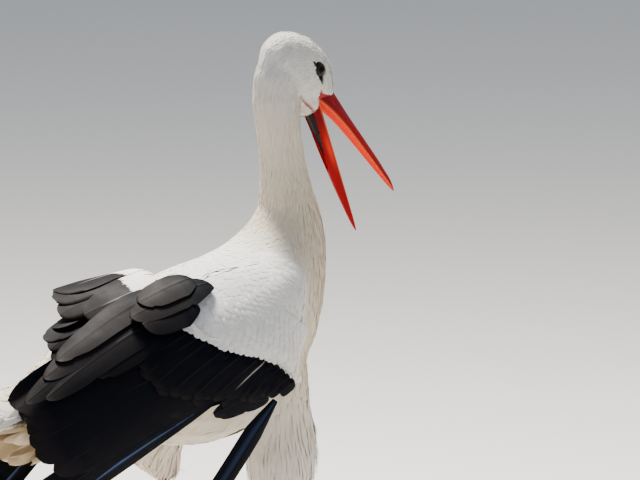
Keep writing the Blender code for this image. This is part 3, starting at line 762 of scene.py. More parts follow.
# ---- markings
class Markings:
    """Colour by place, the same for the skin and for the feathers on it."""

    # x, z, reach of the patch, cream tint, soil; the bird's own drawing coordinates. The cream tint is
    # partly the plumage's own stain and partly painted shade, strongest on the shaded neck and belly and
    # least on the lit mantle.
    PATCHES = (
        (0.150, 0.775, 0.040, 0.10, 0.00),
        (0.118, 0.715, 0.040, 0.62, 0.04),
        (0.140, 0.640, 0.040, 0.85, 0.10),
        (0.175, 0.560, 0.040, 0.95, 0.50),
        (0.160, 0.470, 0.050, 0.90, 0.50),
        (0.060, 0.380, 0.070, 0.55, 0.25),
        (0.020, 0.560, 0.070, 0.04, 0.00),
        (-0.080, 0.540, 0.080, 0.03, 0.00),
        (-0.060, 0.360, 0.080, 0.95, 0.20),
        (-0.190, 0.400, 0.070, 0.95, 0.45),
        (-0.330, 0.430, 0.090, 0.30, 0.12),
        (0.085, 0.330, 0.050, 0.25, 0.18),
        (-0.020, 0.330, 0.050, 0.35, 0.22),
    )
    # The bare patch at the eye, in head directions from the eye: place, middle, half height.
    PATCH_LINE = (
        (-0.017, -0.0006, 0.0015), (-0.0125, -0.0008, 0.0025), (-0.0075, -0.0009, 0.003),
        (-0.0035, -0.0014, 0.0064), (0.0, -0.0007, 0.0082), (0.0047, -0.0011, 0.0082),
        (0.0075, -0.0035, 0.0064), (0.0105, -0.0062, 0.004), (0.015, -0.0084, 0.0022),
        (0.018, -0.0096, 0.0005),
    )
    PATCH_BORDER = 0.0012  # how softly the bare patch ends
    # The upper and lower borders of the red skin at the bill's base, in head directions.
    GAPE_TOP = (
        (0.022, -0.0012), (0.0337, 0.0008), (0.0464, 0.0086), (0.057, 0.019), (0.07, 0.03),
    )
    GAPE_FOOT = (
        (0.022, -0.0016), (0.0308, -0.0078), (0.0374, -0.01), (0.0433, -0.0152), (0.06, -0.025),
    )
    GAPE_START, GAPE_BORDER = 0.021, 0.001
    # The fold between cheek and chin, drawn as a line of dark red bare skin: painted shade in the crease.
    FOLD = ((0.0068, -0.0258), (0.02, -0.025), (0.0362, -0.0225))
    FOLD_WIDTH = 0.0023

    @staticmethod
    def head_spots(points: Array) -> tuple[Array, Array]:
        """Each point's distances along the head and towards its crown."""
        centre, forward, up = head_frame()
        return (points - centre) @ forward, (points - centre) @ up

    def gape(self, points: Array) -> Array:
        """One on the red skin where the bill grows out of the head and along the cheek-chin fold, whose
        painted crease shade takes the same red; nothing on the feathers.
        """
        along, above = self.head_spots(points)
        top = np.interp(along, *np.array(self.GAPE_TOP).T, left=-1, right=-1)
        foot = np.interp(along, *np.array(self.GAPE_FOOT).T, left=1, right=1)
        inside = np.minimum(top - above, above - foot)
        border = np.clip(0.5 + inside / self.GAPE_BORDER, 0, 1) * (along > self.GAPE_START)
        return np.maximum(border, 0.95 * self.fold(points))

    def fold(self, points: Array) -> Array:
        """One in the fold between cheek and chin, where the shade of the crease is painted."""
        along, above = self.head_spots(points)
        middle = np.interp(along, *np.array(self.FOLD).T)
        ends = ramp(along, 0.004, 0.007) * ramp(along, 0.042, 0.039)
        return peak(above, middle, self.FOLD_WIDTH) * ends * (np.abs(points[:, 1]) > 0.006)

    def tint(self, points: Array) -> tuple[Array, Array]:
        """Cream tint and soil at each point; the cream is partly stain and partly painted shade."""
        table = np.array(self.PATCHES)
        gap = points[:, None, [0, 2]] - (table[None, :, :2] + (CENTRE_X, 0.0))
        near = np.exp(-np.sum(gap**2, axis=2) / table[None, :, 2] ** 2)
        share = near / np.maximum(near.sum(1, keepdims=True), 1e-9)
        soil = (share @ table[:, 4]) * (0.15 + 0.85 * peak(points[:, 1], 0.0, 0.032))
        return share @ table[:, 3], soil

    def bare(self, points: Array) -> Array:
        """One inside the bare patch round each eye, falling to nothing outside it."""
        along, above = self.head_spots(points)
        along, above = along - EYE_PLACE[0], above - EYE_PLACE[1]
        line = np.array(self.PATCH_LINE)
        middle = np.interp(along, line[:, 0], line[:, 1])
        half = np.interp(along, line[:, 0], line[:, 2], left=-0.004, right=-0.004)
        aside = np.abs(points[:, 1]) > 0.01
        return np.clip(0.5 - (np.abs(above - middle) - half) / self.PATCH_BORDER, 0, 1) * aside


# ---- outline and lie
class Lie:
    """Which way the feathers point at any place, and how far along the bird it is."""

    THIGHS = (  # the side, and places down the thigh from hip to shank
        (-1, ((0.07, 0.047, 0.42), (0.083, 0.047, 0.37), (0.086, 0.047, 0.31))),
        (1, ((-0.024, 0.046, 0.42), (-0.031, 0.048, 0.365), (-0.016, 0.048, 0.32))),
    )
    THIGH_SIZE, THIGH_GUIDES, THIGH_REACH, THIGH_LENGTH = 0.036, 9, 0.8, 0.12
    THIGH_WAY = (0.02, 0.0, -1.0)
    SPINE_GUIDES = 64
    SOFTNESS = 0.016  # how softly one guide hands over to the next
    LONGEST_REACH, EDGE = 0.93, 0.01  # length and margin of the unrolled skin

    def __init__(self) -> None:
        line = np.array([(x + CENTRE_X, 0, z, max(w, (d + v) / 2)) for x, z, w, d, v in SPINE[::-1]])
        steps = np.linalg.norm(np.diff(line[:, :3], axis=0), axis=1)
        knots = np.concatenate([[0], np.cumsum(steps)])
        at = np.linspace(0, knots[-1], self.SPINE_GUIDES)
        chain = smooth(knots, line, at)
        guides = [(chain[:, :3], chain[:, 3], np.gradient(chain[:, :3], axis=0), at)]
        share = np.linspace(0, 1, self.THIGH_GUIDES)
        for side, thigh in self.THIGHS:
            drop = line_at(np.array(thigh) * (1, side, 1) + (CENTRE_X, 0, 0), share)
            sizes = np.full(self.THIGH_GUIDES, self.THIGH_SIZE)
            ways = np.tile(self.THIGH_WAY, (self.THIGH_GUIDES, 1))
            guides.append((drop, sizes, ways, self.THIGH_REACH + self.THIGH_LENGTH * share))
        self.places, self.sizes, ways, self.reach = (np.concatenate(part) for part in zip(*guides))
        self.ways = unit(ways)

    def weights(self, points: Array) -> Array:
        """How much each guide counts at each point."""
        gap = np.linalg.norm(points[:, None] - self.places[None], axis=2) - self.sizes[None]
        gap -= gap.min(1, keepdims=True)
        near = peak(gap, 0.0, self.SOFTNESS)
        return near / near.sum(1, keepdims=True)

    def read(self, points: Array, normals: Array) -> tuple[Array, Array]:
        """The lie of the feathers, flat on the surface, and the distance from the bill.

        Args:
            points: Places on the surface.
            normals: The surface's normals there.

        Returns:
            Unit directions and distances.
        """
        share = self.weights(points)
        way = share @ self.ways
        way = unit(way - normals * dot(way, normals))
        return way, share @ self.reach

    def unwrap(self, points: Array) -> Array:
        """Places on the skin unrolled: round the spine, and along it."""
        share = self.weights(points)
        reach = share @ self.reach
        middle = share @ self.places
        way = unit(share @ self.ways)
        over = unit(np.cross((0.0, 1.0, 0.0), way))
        off = points - middle
        turn = np.arctan2(off[:, 1], np.sum(off * over, axis=1)) / (2 * math.pi) + 0.5
        return self.EDGE + (1 - 2 * self.EDGE) * np.stack([turn, reach / self.LONGEST_REACH], axis=1)


class Outline:
    """The feathered outline as one surface, to comb feathers over."""

    NODES = (
        "head", "neck_upper", "neck_middle", "neck_lower", "trunk",
        "wing_arm_left", "wing_arm_right", "thigh_left", "thigh_right", "tail",
    )
    VOXEL, ROUNDS, SWELL = 0.0023, 12, 0.0006
    FILLING = (0.5,) * 45  # smoothing of the creases at the shoulders
    TRIES = 5.0  # points thrown for each one kept
    CELL_STEP = 1.12  # how much each size of cell grows on the last
    NEIGHBOURS, APART, PUSH = 7, 1.05, 0.45  # how crowded feathers are moved apart

    def __init__(self) -> None:
        self.mesh = remeshed(joined_copies(self.NODES, self.SWELL), self.VOXEL, self.ROUNDS)
        relax(self.mesh, self.FILLING, self.shoulders(corners_of(self.mesh)[0])[:, None])
        bm = bmesh.new()
        bm.from_mesh(self.mesh)
        self.tree = BVHTree.FromBMesh(bm)
        bm.free()
        self.lie = Lie()

    @staticmethod
    def shoulders(points: Array) -> Array:
        """One where the folded arms meet the trunk, whose creases the coat fills."""
        x, z = points[:, 0] - CENTRE_X, points[:, 2]
        fits = ramp(x, -0.075, -0.045) * ramp(x, 0.14, 0.12)
        return fits * ramp(z, 0.43, 0.46) * ramp(z, 0.63, 0.61)

    def nearest(self, points: Array) -> tuple[Array, Array]:
        """The nearest places on the outline and its normals there."""
        found = [self.tree.find_nearest(p) for p in points]
        return np.array([f[0] for f in found]), np.array([f[1] for f in found])

    def scatter(self, rng: np.random.Generator, spacing: Callable, closest: float) -> Array:
        """Spreads points evenly over the outline.

        Args:
            rng: The draw of random numbers.
            spacing: Gives the distance between feathers at each point; none where it is 0.
            closest: The smallest spacing anywhere.

        Returns:
            The points' places.
        """
        self.mesh.calc_loop_triangles()
        faces = np.empty(len(self.mesh.loop_triangles) * 3, np.int32)
        self.mesh.loop_triangles.foreach_get("vertices", faces)
        places, _ = corners_of(self.mesh)
        corners = places[faces.reshape(-1, 3)]
        first, one, other = corners[:, 0], corners[:, 1] - corners[:, 0], corners[:, 2] - corners[:, 0]
        area = np.linalg.norm(np.cross(one, other), axis=1) / 2
        wish = spacing(corners.mean(1))
        dense = np.where(wish > 0, self.TRIES * area / np.maximum(wish, closest) ** 2, 0.0)
        chosen = np.repeat(np.arange(len(dense)), rng.poisson(dense))
        a, b = rng.random((2, len(chosen), 1))
        flip = a + b > 1
        a, b = np.where(flip, 1 - a, a), np.where(flip, 1 - b, b)
        points = first[chosen] + one[chosen] * a + other[chosen] * b
        gaps = wish[chosen]
        rank = np.round(np.log(gaps / closest) / math.log(self.CELL_STEP)).astype(int)
        cell = closest * self.CELL_STEP**rank
        keys = np.column_stack([rank, np.floor(points / cell[:, None]).astype(int)])
        _, kept = np.unique(keys, axis=0, return_index=True)
        kept.sort()
        return self.spread(points[kept], gaps[kept])

    def spread(self, points: Array, gaps: Array, rounds: int = 3) -> Array:
        """Pushes points that stand too close apart, along the outline."""
        for _ in range(rounds):
            tree = tree_of(points)
            near = np.array([[q[1] for q in tree.find_n(p, self.NEIGHBOURS)] for p in points])
            away = points[:, None] - points[near]
            far = np.linalg.norm(away, axis=2, keepdims=True)
            push = np.clip(gaps[:, None, None] * self.APART - far, 0, None) * (far > 1e-9)
            points = points + (away / np.maximum(far, 1e-9) * push).sum(1) * self.PUSH
            points, _ = self.nearest(points)
        return points


class BodySkin:
    """One skin under all the feathers of head, neck, trunk, arms and thighs."""

    VOXEL, ROUNDS = 0.00217, 4
    SUNK, GAPE_SUNK = 0.92, 0.0012  # share of the coat's depth, and how much more at the gape
    TAIL_CUT = -0.265  # the skin's tail stump ends here
    TONE, ALONG = 0.93, 0.32  # the marks of a feather a third along, which the skin takes, some of the painted root shade with them

    def build(self, outline: Outline, markings: Markings, finishes: Finishes) -> Object:
        """Moves the outline inwards by the coat's depth and closes it again.

        Args:
            outline: The bird's smooth outline, which carries the coat.
            markings: Where the skin is bare, cream-tinted with partly painted shade, or soiled.
            finishes: The materials.
        """
        bm = bmesh.new()
        bm.from_mesh(outline.mesh)
        cut = bmesh.ops.bisect_plane(
            bm, geom=bm.verts[:] + bm.edges[:] + bm.faces[:], plane_co=row_place(self.TAIL_CUT, 0),
            plane_no=(-1, 0, 0), clear_outer=True,
        )
        rim = [e for e in cut["geom_cut"] if isinstance(e, BMEdge)]
        bmesh.ops.holes_fill(bm, edges=rim)
        bm.normal_update()
        places = np.array([v.co for v in bm.verts])
        normals = np.array([v.normal for v in bm.verts])
        _, reach = outline.lie.read(places, normals)
        depth = Coat.read(reach, "depth") * self.SUNK + self.GAPE_SUNK * markings.gape(places)
        for corner, sunk in zip(bm.verts, places - normals * depth[:, None]):
            corner.co = sunk
        mesh = remeshed(bm, self.VOXEL, self.ROUNDS)
        places, normals = corners_of(mesh)
        cream_and_shade, soil = markings.tint(places)
        give_marks(mesh, {
            "cream_and_shade": cream_and_shade, "soil": soil, "tone": np.full(len(places), self.TONE),
            "along": np.full(len(places), self.ALONG), "bare": markings.bare(places),
            "gape": markings.gape(places),
        })
        mesh.shade_smooth()
        skin = link_mesh("body_skin", mesh, finishes.skin)
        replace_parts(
            skin, "head", "neck_upper", "neck_middle", "neck_lower", "trunk",
            "wing_arm_left", "wing_arm_right", "thigh_left", "thigh_right",
        )
        return skin


# ---- feathers as arrays
class Template:
    """One feather's closed vane, from which a whole tract is copied."""

    @classmethod
    def flight(cls) -> "Template":
        """The pattern of the big feathers, with a line either side of the shaft."""
        return cls(columns=10, rows=FLIGHT_ROWS, lens=False, shaft=1.8)

    def ridge(self, high: float) -> Array:
        """A shaft this high on the upper face."""
        return high * (np.abs(self.across) < 0.03) * (self.face > 0)

    def __init__(self, columns: int, rows: tuple[float, ...], lens: bool, shaft: float = 1.0) -> None:
        """Makes the vane's pattern.

        Args:
            columns: Strips across the vane; even, so that one line follows the shaft.
            rows: Shares of the length at which the vane has points.
            lens: Whether the two faces meet in one edge, with a pointed tip.
            shaft: Power that draws the inner lines towards the shaft.
        """
        bm = bmesh.new()
        bmesh.ops.create_grid(bm, x_segments=columns, y_segments=len(rows) - 1, size=1)
        made = bmesh.ops.extrude_face_region(bm, geom=bm.faces[:], use_keep_orig=True)
        under = {item for item in made["geom"] if isinstance(item, BMVert)}
        last = len(rows) - 1
        for corner in bm.verts:
            row = round((corner.co.y + 1) / 2 * last)
            across = math.copysign(abs(corner.co.x) ** shaft, corner.co.x)
            if lens and row == last:
                across = 0.0
            thick = 1.0 if not lens else (0.0 if row == last else 1 - abs(across))
            corner.co = (across, row, -thick if corner in under else thick)
        turn_outward(bm, 1e-5)
        bm.verts.index_update()
        shape = np.array([v.co for v in bm.verts])
        self.rows = np.asarray(rows)
        self.across, self.row, self.face = shape[:, 0], shape[:, 1].round().astype(int), shape[:, 2]
        self.along = self.rows[self.row]
        self.corners = np.array([v.index for f in bm.faces for v in f.verts], np.int64)
        self.starts = np.concatenate([[0], np.cumsum([len(f.verts) for f in bm.faces])[:-1]])
        bm.free()


PLUME_ROWS = (0.0, 0.3, 0.58, 0.8, 0.93, 1.0)
WISP_ROWS = (0.0, 0.35, 0.7, 1.0)
FLIGHT_ROWS = tuple(1 - (1 - t) ** 1.35 for t in np.linspace(0, 1, 26))


def vane_body(
    rows: Array, root: float, full: float, rounding: float, power: float = 2.2,
    least: float = 0.004, swell: float = 1.0,
) -> Array:
    """Width along a big feather, as a share of its widest place.

    Args:
        rows: Shares of the length.
        root: Its width at the root.
        full: Where it reaches its full width.
        rounding: Where the tip begins to round off.
        power: How late and how suddenly the tip rounds.
        least: Square of the width left at the very tip.
        swell: Power of the widening from the root; 1 is straight.

    Returns:
        One width for each row.
    """
    past = ramp(rows, rounding, 1.0)
    return (root + (1 - root) * ramp(rows, 0, full) ** swell) * np.sqrt(np.clip(1 - past**power, least, 1))


@dataclass
class Tract:
    """Feathers ready to be joined: their points and what each one carries."""

    template: Template
    points: Array  # feather, corner, xyz
    half_width: Array
    length: Array
    marks: dict[str, Array]
    unwrapped: Array | None = None  # each root's place on the unrolled skin

    PATCH = 0.003  # how wide each feather's patch is on the unrolled skin
    CELL = 0.94  # share of its own cell that a big feather fills
    SAMPLES = 40  # feathers that tell which way the faces turn

    def join(self, name: str, material: Material, slot: str, sharp: float = 50.0) -> Object:
        """Joins all the feathers into one piece.

        Args:
            name: The piece's name.
            material: Its finish.
            slot: Not used.
            sharp: Degrees past which an edge stays sharp.

        Returns:
            The new object.
        """
        template, count = self.template, len(self.points)
        size, faces = len(template.along), len(template.starts)
        mesh = bpy.data.meshes.new(name)
        mesh.vertices.add(count * size)
        mesh.vertices.foreach_set("co", np.ascontiguousarray(self.points, np.float32).ravel())
        corners = self.outward_corners()
        loops = (corners[None] + size * np.arange(count)[:, None]).ravel()
        mesh.loops.add(len(loops))
        mesh.loops.foreach_set("vertex_index", loops.astype(np.int32))
        starts = (template.starts[None] + len(template.corners) * np.arange(count)[:, None]).ravel()
        mesh.polygons.add(count * faces)
        mesh.polygons.foreach_set("loop_start", starts.astype(np.int32))
        mesh.update(calc_edges=True)
        mesh.validate()
        wide = template.across[None] * self.half_width[:, None]
        far = template.along[None] * self.length[:, None]
        self.give_map(mesh, "OFBake", self.bake_places(), loops)
        self.give_map(mesh, "Barb", np.stack([wide, far], axis=2).reshape(-1, 2), loops)
        give_marks(mesh, {"along": np.tile(template.along, count)})
        give_marks(mesh, {key: np.repeat(value, size) for key, value in self.marks.items()})
        mesh.shade_smooth()
        mesh.set_sharp_from_angle(angle=math.radians(sharp))
        return link_mesh(name, mesh, material)

    def outward_corners(self) -> Array:
        """The pattern's corners in an order that turns every face outward."""
        faces = np.split(self.template.corners, self.template.starts[1:])
        some = self.points[: self.SAMPLES]
        some = some - some.mean(1, keepdims=True)
        volume = 0.0
        for face in faces:
            for a, b in zip(face[1:-1], face[2:]):
                volume += dot(some[:, face[0]], np.cross(some[:, a], some[:, b])).sum()
        return np.concatenate([face[::-1] for face in faces]) if volume < 0 else self.template.corners

    def bake_places(self) -> Array:
        """Each corner's place on the unrolled skin, or in a cell of its own for big feathers."""
        template, count = self.template, len(self.points)
        spot = np.stack(np.broadcast_arrays(template.across / 2, template.along - 0.5), axis=1)
        if self.unwrapped is not None:
            return (self.unwrapped[:, None] + spot[None] * self.PATCH).reshape(-1, 2)
        cells = math.ceil(math.sqrt(count))
        index = np.arange(count)
        corner = np.stack([index % cells, index // cells], axis=1) + 0.5
        return ((corner[:, None] + spot[None] * self.CELL) / cells).reshape(-1, 2)

    @staticmethod
    def give_map(mesh: Mesh, name: str, places: Array, loops: Array) -> None:
        """Adds a UV map from one place per corner."""
        layer = mesh.uv_layers.new(name=name)
        layer.data.foreach_set("uv", np.ascontiguousarray(places[loops], np.float32).ravel())


@dataclass(frozen=True)
class Station:
    """How the coat is at one distance from the bill."""

    reach: float
    spacing: float
    length: float
    half_width: float
    depth: float
    stray: float  # degrees that single feathers turn aside


class Coat:
    """Contour feathers combed over the outline, from bill to vent and down the thighs."""

    STATIONS = (
        Station(0.000, 0.0016, 0.0052, 0.0007, 0.0008, 6),
        Station(0.030, 0.0018, 0.0072, 0.0008, 0.0009, 6),
        Station(0.065, 0.0021, 0.0105, 0.0009, 0.0012, 6),
        Station(0.110, 0.0024, 0.0145, 0.0010, 0.0017, 5),
        Station(0.180, 0.0029, 0.0190, 0.0013, 0.0021, 5),
        Station(0.230, 0.0036, 0.0240, 0.0019, 0.0019, 5),
        Station(0.290, 0.0048, 0.0300, 0.0034, 0.0018, 4),
        Station(0.380, 0.0062, 0.0350, 0.0054, 0.0020, 4),
        Station(0.560, 0.0072, 0.0390, 0.0064, 0.0027, 5),
        Station(0.660, 0.0070, 0.0420, 0.0054, 0.0030, 7),
        Station(0.700, 0.0066, 0.0440, 0.0046, 0.0032, 8),
        Station(0.800, 0.0052, 0.0480, 0.0025, 0.0032, 9),
        Station(0.860, 0.0044, 0.0380, 0.0018, 0.0030, 11),
        Station(0.920, 0.0040, 0.0280, 0.0015, 0.0026, 13),
    )
    COVERT_REACH = 0.0022  # no feather grows this near to a covert's middle
    VANE_REACH = 0.0065  # nor reaches this near to a black feather
    CLOSEST = 0.0016
    CURVE = 0.05  # radius of a feather's camber
    THIN, THICK = 0.00007, 0.00018  # limits of half a feather's thickness
    HOLD_TURN, HOLD_DROP = 0.8, 0.01  # how far the outline may bend away and still hold a feather
    PIECES = (  # each piece's name and how far down the bird it reaches
        ("coat_head", 0.075), ("coat_nape", 0.15), ("coat_neck", 0.235),
        ("coat_breast", 0.42), ("coat_trunk", 0.75), ("coat_thighs", 9.9),
    )
    SLIM = (0.5, 0.95, 0.92, 0.66, 0.34, 0.0)  # outline of the narrow plumes, by row
    FULL = (0.4, 0.86, 1.0, 0.92, 0.6, 0.0)
    WISP = (0.55, 1.0, 0.8, 0.0)
    BALD = 0.45  # no feather grows where the skin is barer than this
    STRAY_TIP, STRAY_THIGH_TIP = 0.008, 0.02  # how far a tip may stand off the outline
    THIGHS = 0.74  # where the thighs' loose feathers begin

    @classmethod
    def read(cls, reach: Array, what: str) -> Array:
        """One of the stations' sizes at these distances."""
        return np.interp(reach, [s.reach for s in cls.STATIONS], [getattr(s, what) for s in cls.STATIONS])

    def __init__(self, outline: Outline, markings: Markings, finishes: Finishes, wings: list) -> None:
        self.outline, self.markings, self.finishes = outline, markings, finishes
        places = np.concatenate([wing.covert_places for wing in wings])
        ground, normals = outline.nearest(places)
        self.coverts = tree_of(places[dot(places - ground, normals)[:, 0] > -0.0006])
        self.vanes = tree_of(np.concatenate([places for wing in wings for places in wing.vane_places]))
        self.rng = np.random.default_rng(SEED)
        self.plume = Template(2, PLUME_ROWS, True)
        self.wisp = Template(2, WISP_ROWS, True)

    def spacing(self, points: Array) -> Array:
        """Distance between feathers, nothing where other pieces cover the outline."""
        share = self.outline.lie.weights(points)
        gap = self.read(share @ self.outline.lie.reach, "spacing")
        return np.where(self.covered(points), 0.0, gap)

    def covered(self, points: Array) -> Array:
        """Whether coverts or tail feathers already lie over each place."""
        near = np.array([self.coverts.find(p)[2] for p in points]) < self.COVERT_REACH
        return near | Tail.covers(points)

    def build(self) -> list[Object]:
        """Scatters, combs and joins every tract."""
        roots = self.outline.scatter(self.rng, self.spacing, self.CLOSEST)
        roots = roots[~self.covered(roots)]
        points, normals = self.outline.nearest(roots)
        _, reach = self.outline.lie.read(points, normals)
        pieces, nearer = [], -1.0
        for name, further in self.PIECES:
            here = (reach >= nearer) & (reach < further)
            pieces.append(self.comb(name, points[here], reach[here]))
            nearer = further
        return pieces

    def comb(self, name: str, points: Array, reach: Array) -> Object:
        """Lays one tract's feathers along the outline and joins them.

        Args:
            name: The piece's name.
            points: Where its feathers grow.
            reach: How far each of them is from the bill.

        Returns:
            The piece.
        """
        fine = name == self.PIECES[0][0]
        template = self.wisp if fine else self.plume
        rng, count = self.rng, len(points)
        size = {key: self.read(reach, key) for key in ("length", "half_width", "depth", "stray")}
        points, _ = self.outline.nearest(points)
        front = self.frontness(points, reach)
        length = size["length"] * (1 + 0.9 * front) * rng.uniform(0.85, 1.15, count)
        half = size["half_width"] * (1 - 0.35 * front) * rng.uniform(0.85, 1.15, count)
        turn = np.radians(size["stray"]) * rng.standard_normal(count)
        spine, norms, aside = self.follow(points, length, turn, template.rows)
        sunk = size["depth"][:, None] * (1 - template.rows[None]) ** 1.15
        loose = 0.005 * ramp(reach, self.THIGHS, 0.8) + 0.0007 * front + 0.0006 * (reach < 0.1)
        lift = (rng.uniform(-0.00005, 0.00012, count) + loose * rng.random(count) ** 2)[:, None]
        spine = spine + norms * (lift * template.rows[None] - sunk)[..., None]
        widths = half[:, None] * self.profile(template.rows, reach)
        thick = np.clip(half * 0.05, self.THIN, self.THICK)
        points3 = lay(template, spine, aside, norms, widths, thick, half**2 / (2 * self.CURVE))
        flat = spine.reshape(-1, 3)
        bald = np.maximum(self.markings.bare(flat), self.markings.gape(flat)).reshape(count, -1)
        keep = bald[:, 1:].max(1) < self.BALD
        held, _ = self.outline.nearest(spine[:, -1])
        allowed = np.where(reach > self.THIGHS, self.STRAY_THIGH_TIP, self.STRAY_TIP)
        keep &= np.linalg.norm(held - spine[:, -1], axis=1) < allowed
        keep &= self.free_of_vanes(spine[:, -1]) & self.free_of_vanes(spine[:, len(template.rows) // 2])
        cream_and_shade, soil = self.markings.tint(spine[:, 0])
        marks = {
            "cream_and_shade": np.clip(cream_and_shade + rng.normal(0, 0.05, count), 0, 1), "soil": soil,
            "tone": rng.uniform(0.88 if fine else 0.94, 1.0, count), "bare": np.zeros(count),
        }
        tract = Tract(
            template, points3[keep], half[keep], length[keep], {k: v[keep] for k, v in marks.items()},
            self.outline.lie.unwrap(spine[keep, 0]),
        )
        return tract.join(name, self.finishes.white, "white_plumage")

    def free_of_vanes(self, points: Array) -> Array:
        """Whether each place keeps clear of the big black feathers."""
        return np.array([self.vanes.find(p)[2] for p in points]) > self.VANE_REACH

    def frontness(self, points: Array, reach: Array) -> Array:
        """How much a place belongs to the long plumes of the lower throat and breast."""
        forward = ramp(points[:, 0] - CENTRE_X, 0.115, 0.15)
        low = ramp(points[:, 2], 0.68, 0.63) * ramp(points[:, 2], 0.4, 0.46)
        return forward * low * (reach < 0.5)

    def profile(self, rows: Array, reach: Array) -> Array:
        """Half width along the feather: narrow plumes on the neck, rounder ones on the body."""
        if len(rows) == len(self.WISP):
            return np.tile(self.WISP, (len(reach), 1))
        share = ramp(reach, 0.2, 0.32) * ramp(reach, 0.78, 0.73)
        return self.SLIM + np.subtract(self.FULL, self.SLIM) * share[:, None]

    def follow(
        self, points: Array, length: Array, turn: Array, rows: Array
    ) -> tuple[Array, Array, Array]:
        """Walks each feather along the outline.

        Args:
            points: Where each feather starts.
            length: How long each is.
            turn: Radians by which each strays from the lie.
            rows: Shares of the length to stop at.

        Returns:
            For each feather and row: the place, the normal and the way across.
        """
        points, normals = self.outline.nearest(points)
        way, _ = self.outline.lie.read(points, normals)
        way = way * np.cos(turn)[:, None] + np.cross(normals, way) * np.sin(turn)[:, None]
        spine, norms, asides = [points], [normals], [np.cross(normals, way)]
        for step in np.diff(rows):
            free = points + way * (length * step)[:, None]
            held, turned = self.outline.nearest(free)
            chord = held - points
            fell = np.linalg.norm(held - free, axis=1, keepdims=True)
            holds = (dot(unit(chord), way) > self.HOLD_TURN) & (fell < self.HOLD_DROP)
            points = np.where(holds, held, free)
            normals = np.where(holds, unit(turned + normals * 0.5), normals)
            flow, _ = self.outline.lie.read(points, normals)
            way = unit(way * 0.65 + flow * 0.35)
            way = unit(way - normals * dot(way, normals))
            spine.append(points)
            norms.append(normals)
            asides.append(np.cross(normals, way))
        return tuple(np.stack(a, axis=1) for a in (spine, norms, asides))


def lay(
    template: Template, spine: Array, aside: Array, norms: Array, widths: Array, thick: Array,
    camber: Array,
) -> Array:
    """Gives every feather of a tract its points along its own line.

    Args:
        template: The vane they are copied from.
        spine: Places along each feather.
        aside: Ways across, at the same places.
        norms: Normals, at the same places.
        widths: Half widths, at the same places.
        thick: Half thickness of each feather.
        camber: How far each feather's edges drop.

    Returns:
        Points by feather and corner.
    """
    row = template.row
    wide = widths[:, row] * template.across[None]
    high = template.face[None] * thick[:, None] - camber[:, None] * template.across[None] ** 2
    return spine[:, row] + aside[:, row] * wide[..., None] + norms[:, row] * high[..., None]


# ---- wings
class Shell:
    """The curved sheet that each folded wing lies on."""

    ROUND = 0.11  # radius that turns degrees over the back into metres

    @staticmethod
    def section(x: Array) -> list[Array]:
        """Middle height, half heights up and down, and half width at x."""
        table = smooth([s[0] for s in SHELL], [s[1:] for s in SHELL], x)
        return [table[..., i] for i in range(4)]

    @classmethod
    def side(cls, side: Side, x: Array, z: Array, out: Array) -> Array:
        """Points on the wing's outer side at x and z, raised by out."""
        middle, upper, lower, half = cls.section(x)
        level = np.clip((z - middle) / np.where(z > middle, upper, lower), -SHELL_REACH, SHELL_REACH)
        y = side.value * (half * np.sqrt(1 - level**2) + out)
        return np.stack([x + CENTRE_X, y, z], axis=-1)

    @classmethod
    def back(cls, side: Side, x: Array, s: Array, out: Array) -> Array:
        """Points over the back at x and s metres down from the top line, raised by out."""
        middle, upper, _, half = cls.section(x)
        turn = s / cls.ROUND
        y = side.value * (half + out) * np.sin(turn)
        return np.stack([x + CENTRE_X, y, middle + (upper + out) * np.cos(turn)], axis=-1)


